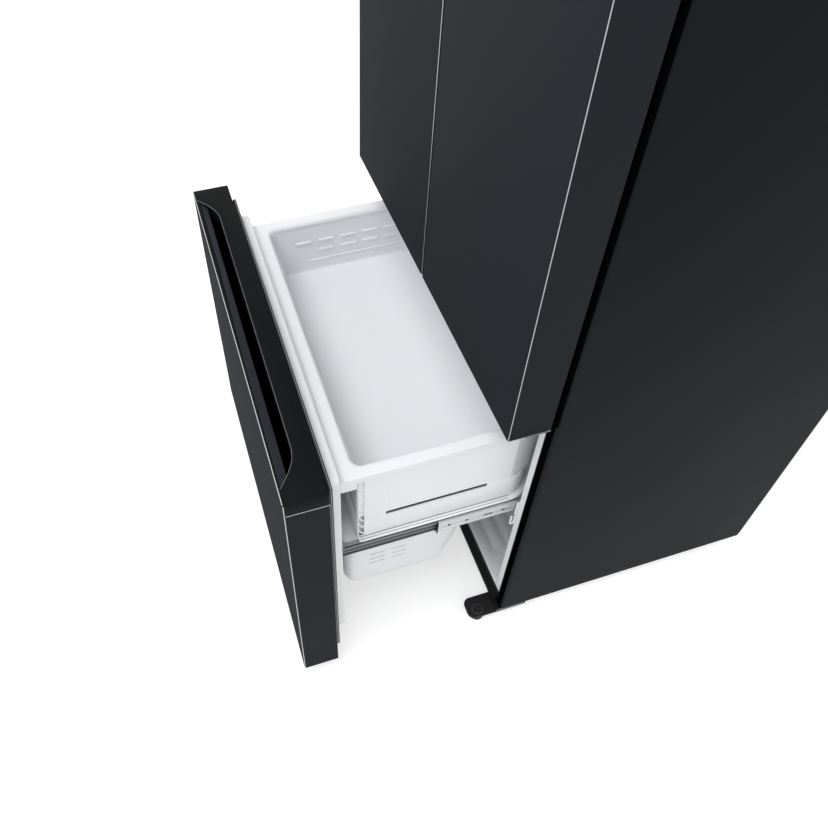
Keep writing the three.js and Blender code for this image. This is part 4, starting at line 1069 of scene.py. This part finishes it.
def dress_machine_cover():
    """The machine room's cover: six rows of round-ended slots with slanted blades, and the cord's gland."""
    plate = blocks("machine_cover", [[(-HALF, HALF), (BACK - SHEET, BACK), (44.0, 291.7)]])
    slots, blades, gland = [], [], (-300, 90)
    for x in (np.arange(6) - 2.5) * 84:
        for z in 130 + 16 * np.arange(6):
            rings = [loop((x - 31, x + 31), (z, z + 6), depth, "d", 2.9) for depth in (715, 735)]
            slots.append(loft("slot", rings))
            near, far = BACK - 1.6, BACK - 8
            section = [(near, z + 6.4), (near, z + 7.4), (far, z + 1.2), (far, z + 0.2)]
            blades.append(prism("blade", section, (x - 30, x + 30), "x"))
    plate = weld(plate, turned("gland", [(12, BACK - 12), (12, BACK)], gland, "d", 32))
    bore = turned("bore", [(4.5, BACK - 20), (4.5, BACK + 9)], gland, "d", 32)
    plate = carve(plate, merge(*slots), bore)
    settle(plate, "cabinet", REAR, ["machine_room_cover"])
    settle(merge(*blades, name="cover_blades"), "cabinet", REAR)
    head = [(4.2, BACK - 0.6), (4.2, BACK - 0.4), (3.0, BACK - 0.02)]
    heads = [turned("screw", head, (x, z), "d", 20) for x in (-396, -200, 0, 200, 396) for z in (56, 280)]
    settle(merge(*heads, name="cover_screws"), "cabinet", DARK_STEEL)


def dress_base():
    """The machine room's pan with a turned-up front, its roller forks and axles, and the bottom sheet."""
    section = [(470, 37.1), (470, 48), (471.5, 48.6), (473, 48), (473, 40.4), (474.1, 39.3), (723.2, 39.3)]
    pan = prism("machine_pan", section + [(723.2, 36.3), (470.8, 36.3)], (-ROOM_HALF, ROOM_HALF), "x")
    parts = []
    for _, sign in SIDES:
        centre = sign * WHEEL
        for span in ((centre - 18, centre - 15), (centre + 15, centre + 18)):
            parts.append(loft("fork", [loop((678, 702), (8, 38), x, "x", 10.0, 1.0) for x in span]))
        parts.append(turned("axle", [(4, centre - 18.5), (4, centre + 18.5)], AXLE, "x", 24))
    settle(weld(pan, *parts), "cabinet", ZINC, ["base_pan"])
    rows = both([
        [(370.4, 406.6), (449.3, BACK - 1.8), (32.0, 32.2)],
        [(370.4, 406.6), (BACK - 1.7, BACK), (32.2, 43.7)],
    ])
    sheet = blocks("bottom_sheet", [[(-406.6, 406.6), (91.5, 449), (32.0, 32.2)], *rows])
    settle(sheet, "cabinet", REAR)


def dress_roller(side, sign):
    """A wheel with a bored hub, a thin web and a rounded tread."""
    x0, x1 = sign * WHEEL - 13, sign * WHEEL + 13
    half = [(4.6, x0), (8.5, x0), (9, x0 + 0.6), (9, x0 + 4), (13.6, x0 + 4.4), (14, x0 + 0.6), (15.4, x0)]
    profile = half + [(16.6, x0 + 0.8), (17, x0 + 2.4), (17, x1 - 2.4), (16.6, x1 - 0.8)]
    profile += [(radius, x0 + x1 - level) for radius, level in reversed(half)]
    wheel = turned(f"roller_wheel_{side}", profile, AXLE, "x", 48, closed=True)
    settle(wheel, f"roller_{side}", TYRE, [f"rear_roller_{side}"])


def dress_compressor():
    """A drawn shell with a welded belt, on a plate with four feet. Its radius follows a superellipse."""
    low, centre = 39.6, (160, 606)
    turn = np.linspace(-1.0, 1.0, 21)
    radius = 76 * (1 - np.abs(turn) ** 3.2) ** (1 / 2.4)
    profile = [(max(r, 1.0), low + 84 + 70 * t) for r, t in zip(radius, turn)]
    shell = turned("compressor_shell", profile, centre, steps=64)
    belt = [(74, low + 92), (78.5, low + 93), (79, low + 95), (78.5, low + 97), (74, low + 98)]
    plate = eased_slab("plate", (80, 240), (560, 652), (low + 10, low + 16), 12)
    rings = [(8, low + 2), (11, low + 0.6), (11, low + 8), (9, low + 9.5), (9, low + 11)]
    feet = [turned("foot", rings, (160 + u * 65, 606 + v * 32), steps=20) for u in (-1, 1) for v in (-1, 1)]
    box = blocks("terminals", [[(132, 188), (522, 545), (88, 138)]])
    made = weld(shell, turned("belt", belt, centre, steps=64), plate, *feet, box)
    settle(made, "cabinet", SHELL, ["compressor"])


# ---- slides ----
def rail_section(sign, web, lips, height, thick=1.4, groove=1.6):
    """A rolled channel: flat web with a ball groove along each edge, and lips turned towards `lips`."""
    low, high = height
    way = 1 if lips > web else -1
    reach, gutter = abs(lips - web), 5.0
    half = [
        (way * reach, low + 3.0), (way * (reach - 0.4), low + 1.2), (way * (reach - 1.6), low + thick / 2),
        (way * 1.4, low + thick / 2), (way * 0.3, low + 1.6), (0, low + 3), (0, low + gutter),
        (way * groove, low + gutter + 1.6), (way * groove, low + gutter + 3.4), (0, low + gutter + 5.0),
    ]
    middle = (low + high) / 2
    path = half + [(a, 2 * middle - b) for a, b in reversed(half)]
    return band([(sign * (web + a), b) for a, b in path], thick * 0.8)


def dress_slides(side, sign):
    """The three rolled members of a slide: the outer one on the wall, the inner one under the basket's
    flange with painted shade lines in its grooves and on its top lip, and the perforated one between them
    with its stop, its ball cage and painted shade behind its holes."""
    start, length, travel = 111, 450, 190
    end, first = start + length, start - travel
    rail = prism(f"slide_outer_{side}", rail_section(sign, 367.4, 357.5, (407.5, 448)), (start, end), "d")
    settle(rail, "cabinet", ZINC, [f"rail_outer_{side}"])
    inner = rail_section(sign, 354.2, 359.0, (414, 441.5), groove=2.2)
    rail = prism(f"slide_inner_{side}", inner, (108.5, end), "d")
    foot = blocks("foot", [[(346, 355.5), (108.4, 109.9), (414.5, 441)]], sign)
    settle(merge(rail, foot), "drawer", ZINC_DULL, [f"rail_inner_{side}"])
    along = (start + 1, end - 6)
    # Painted shade lines in the inner member's grooves and on its top lip.
    shade_lines = [[(354.9, 355.6), along, level] for level in ((416.2, 418.4), (425.2, 430.3), (437.2, 439.4))]
    shade_lines.append([(354.4, 356.4), along, (441.2, 441.6)])
    settle(blocks(f"slide_shade_lines_{side}", shade_lines, sign), "drawer", DARK_STEEL)
    middle = rail_section(sign, 362.4, 357.0, (411, 444.5))
    rail = prism(f"slide_middle_{side}", middle, (first, first + length), "d")
    centre, through = 427.75, (sign * 355, sign * 370)
    bore = [(3.3, x) for x in through]
    holes = [turned("hole", bore, (depth, centre), "x", 20) for depth in (-56, -19, 58, 200, 330)]
    holes += [
        loft("hole", [loop((d, d + 20), (centre - 2.2, centre + 2.2), x, "x", 2.15) for x in through])
        for d in (16, 86, 240)
    ]
    body = f"slide_{side}"
    settle(carve(rail, *holes), body, ZINC, [f"rail_middle_{side}"])
    # Painted shade seen through the middle member's holes.
    hole_shade = [[(361.0, 361.4), (first + 4, first + 446), (centre - 5, centre + 5)]]
    settle(blocks(f"slide_hole_shade_{side}", hole_shade, sign), body, BLACK)
    stop = [
        [(359.8, 364.2), (first - 2.6, first - 0.2), (409.0, 446.4)],
        [(362.9, 364.2), (first - 8, first - 2), (422, 432)],
    ]
    settle(soften(blocks(f"slide_stop_{side}", stop, sign), 0.6), body, BLACK)
    cage = [[(359.9, 361.2), (first + 6, first + 440), level] for level in ((415.5, 418.0), (437.6, 440.0))]
    settle(blocks(f"ball_cage_{side}", cage, sign), body, BLACK)


def dress_slide_mount(side, sign):
    """What holds a slide on the wall: its black end, a hook with a bent wall plate, and a catch."""
    end = [
        [(364.6, 368.2), (106, 124), (405.5, 450)],
        [(357.5, 365.2), (109.5, 124), (446.9, 450)],
        [(357.5, 365.2), (109.5, 124), (405.5, 408.4)],
    ]
    settle(soften(blocks(f"slide_end_{side}", end, sign), 1.2), "cabinet", BLACK)
    catch = blocks(f"slide_catch_{side}", [[(345, 348.8), (110.5, 120), (390, 404)]], sign)
    settle(soften(catch, 0.8, 2), "cabinet", BLACK)
    shape = [
        (368.3, 405), (349, 405), (349, 394), (352, 390), (352, 373), (348, 368.5), (344.5, 370),
        (344.5, 383), (340.5, 383), (340.5, 367), (346, 362.3), (356, 362.3), (368.3, 374),
    ]
    hook = prism(f"slide_hook_{side}", [(sign * x, z) for x, z in shape], (109.8, 121), "d")
    plate = [
        (84.5, 446), (105, 446), (105, 364), (82, 364), (78.4, 368), (78.4, 396), (81.6, 396), (81.6, 371),
        (84, 368.5), (86.2, 371), (86.2, 400), (84.5, 404),
    ]
    hook = merge(hook, prism("wall_plate", plate, (sign * 364.9, sign * 368.3), "x"))
    settle(soften(hook, 0.7, 2, 40), "cabinet", WHITE)


# ---- basket and tray ----
def basket_ring(half, front, back, level, near, far, inset=0.0):
    """The basket's outline at a level, with its corner radii at the front and at the back."""
    radii = max(near - inset, 1.0), max(far - inset, 1.0)
    return loop((-half, half), (front, back), level, "z", *radii, steps=7, inset=inset)


def dress_basket():
    """A deep tub that widens in steps. Rings run up the outside, over the rim and down the inside."""
    wall = 3.0
    rows = [
        (288, 158, 320, 185.0, 20, 20), (302, 148, 332, 185.6, 20, 21), (308, 140, 339, 188, 20, 22),
        (316, 130, 349, 197, 22, 24), (319, 126, 352, 210, 22, 26), (320, 125, 355, 222, 22, 26),
        (321, 125, 379, 311, 22, 26), (322, 125, 397, 385, 22, 28), (323, 125, 402, 400, 22, 28),
        (327, 122, 410, 404, 22, 32), (340, 115, 496, 405, 14, 52), (344, 114, 505, 408, 10, 54),
        (344, 114, 505, 433, 10, 54), (343, 115, 504.5, 436, 9, 53.5), (342, 140, 504, 436.2, 8, 53),
        (343.2, 141.4, 504.6, 437, 8, 54), (344, 142, 505, 439, 8, 54), (344, 142, 505, 512.6, 8, 54),
    ]
    rings = [basket_ring(*row) for row in rows]
    rim = ((513.7, 0.5), (514.1, 1.5), (513.7, 2.5))
    rings += [basket_ring(344, 142, 505, level, 8, 54, inset) for level, inset in rim]
    rings += [
        basket_ring(half, front, back, level + (wall if level < 412 else 0), near, far, wall)
        for half, front, back, level, near, far in reversed(rows) if not 432 <= level <= 436.1
    ]
    notch = blocks("notch", [[(-360, 360), (198, 402), (502.5, 530)]])
    vents = blocks("vents", both([
        [(300, 335), along, (level - 1.4, level + 1.4)]
        for along in ((175, 209), (224, 256)) for level in (309, 289, 271)
    ]))
    channels = [blocks("channel", [[(334.6, 350), (145, 155.4), (446, 700)]], sign) for _, sign in SIDES]
    basket = carve(loft("basket_tub", rings), notch, vents, *channels)
    settle(basket, "drawer", TUB_WHITE, ["lower_basket"], sharp=40)
    dress_basket_cheeks()
    dress_basket_flange()


def dress_basket_cheeks():
    """The pillars at the front corners, with a ribbed channel in each, and the cheeks behind them that
    carry the tray."""
    shape = [(155.4, 500), (198, 500), (198, 514.6), (202.45, 514.6), (202.45, 647), (155.4, 647)]
    cheeks = [prism("cheek", shape, (sign * 341, sign * 344.05), "x") for _, sign in SIDES]
    pillars = blocks("basket_cheeks", both([
        [(331, 334.5), (142.6, 158), (437, 646.6)],
        [(334, 344), (155.5, 158), (514.7, 646.6)],
        [(340, 344.2), (142.5, 144.6), (514.7, 646.8)],
    ]))
    heads = blocks("heads", both([[(338, 344), (144, 157), (644, 646.8)]]))
    sides = weld(pillars, *cheeks, heads)
    settle(soften(sides, 0.3, 2), "drawer", TUB_WHITE)
    for side, sign in SIDES:
        pillar_ribs(side, sign)


def dress_basket_flange():
    """The flange that rests on the slides, with round rear corners, and painted shadow lines along its
    folds.
    """
    half = [(342, 143.5), (353.5, 143.5), (354.9, 150)] + arc((290, 451), 64.9, 0, 90, 12)
    flange_shade = prism("basket_flange", mirrored(half), (441.8, 444.0), "z")
    room = prism("room", outline((-343, 343), (120, 504), 8, 53), (430, 460), "z")
    settle(soften(carve(flange_shade, room), 0.5, 2, 50), "drawer", TUB_WHITE)
    # Painted shadow lines along the flange's folds.
    lines = both([
        [(343.9, 344.7), (146, 455), (443.9, 444.6)],
        [(349.3, 350.2), (144, 452), (443.8, 444.15)],
        [(354.7, 355.3), (112, 556), (441.55, 442.5)],
    ])
    settle(blocks("flange_shadow_lines", lines), "drawer", DARK_STEEL)


def pillar_ribs(side, sign):
    """Eight ribs in the pillar's channel. Each is a quarter of an ellipse: it starts upright at the front
    bead, and ends level at the channel's rear wall."""
    width, fall, count, steps = 9.6, 19.0, 8, 9
    turn = np.linspace(0, math.pi / 2, steps)
    bars = []
    across, depth = np.linspace(339.5, 342.2, steps) * sign, 145.6 + width * (1 - np.cos(turn))
    for top in np.linspace(641, 472, count):
        bars.append(tube("rib", np.stack([across, depth, top - fall * np.sin(turn)], -1), 1.8, 8))
    bead = tube("bead", [(sign * 344.2, 143.4, level) for level in (438.5, 500, 560, 646)], 1.3, 8)
    settle(merge(*bars, bead, name=f"pillar_ribs_{side}"), "drawer", WHITE)


def tray_mouth():
    """The tray's hollow: a rounded tub whose mouth flares out to the rim. Rows give the level, the growth
    of the plan and the front wall's inner face."""
    rows = [(518, -12.0, 156), (519.5, -7.5, 152), (523, -5.0, 150)]
    rows += [(600, -2.0, 149), (645, -0.4, 148.5), (654, 0, 142)]
    for turn in np.linspace(0.3, math.pi / 2, 6):
        grow = 7 * (1 - math.cos(turn))
        rows.append((654 + 7 * math.sin(turn), grow, 142 - grow))
    rows.append((670, 7.0, 135))
    return loft("mouth", [
        loop((-321 - grow, 321 + grow), (front, 489 + grow), level, "z", 20.0, (30.0, 44.0), steps=8)
        for level, grow, front in rows
    ])


def dress_tray():
    """A tray hollowed by a tub with a flaring mouth, under a broad flat rim with a skirt."""
    plan = mirrored([(340.5, 145), (340.5, 202.5), (344, 202.5), (344, 450), (330, 491), (312, 512)])
    tub = carve(prism("tray_tub", plan, (514.6, 650), "z"), tray_mouth())
    settle(soften(tub, 0.3, 2, 60), "tray", TUB_WHITE, ["upper_tray"], sharp=15)
    edge, front = 347.7, 108.5
    plan = mirrored([(edge, front), (edge, 451), (334.5, 491), (315, 515.6)])
    skirt = [[(-340, 340), (front, 112), (628, 649)], *both([[(edge - 3, edge), (front, 141), (628, 649)]])]
    rim = carve(weld(prism("tray_rim", plan, (648, 661), "z"), blocks("skirt", skirt)), tray_mouth())
    settle(soften(rim, 1.2, 3, 50), "tray", TUB_WHITE)
    settle(soften(blocks("tray_ridges", tray_ridges()), 1.1), "tray", WHITE)


def tray_ridges():
    """Two rows of short ridges on the inside of the long walls, over a long ledge."""
    rows = [[(314.5, 321.6), (228, 470), (549, 553)]]
    for level, first, last, face in ((606, 200, 420, 315.4), (579, 253, 440, 314.4)):
        rows += [[(face, 325), (d, d + 37), (level - 3, level + 3)] for d in np.arange(first, last, 53)]
    return both(rows)


place_camera()
place_floor()
place_lights()
dress_nodes()
dress_cabinet_shell()
dress_freezer_room()
dress_toe()
dress_drawer_front()
dress_drawer_back()
seal("drawer_seal", (-HALF, HALF), (DRAWER_LOW, DRAWER_TOP), "drawer", "drawer_gasket")
dress_basket()
dress_tray()
dress_fridge_room()
dress_shelves()
dress_ducts()
dress_centre_post()
dress_back()
dress_base()
dress_compressor()
for SIDE, SIGN in SIDES:
    for dress in (
        dress_door, dress_door_back, dress_top_hinge, dress_middle_hinge, dress_crisper, dress_roller,
        dress_leg, dress_slides, dress_slide_mount,
    ):
        dress(SIDE, SIGN)

bpy.context.scene.view_settings.view_transform = "Standard"
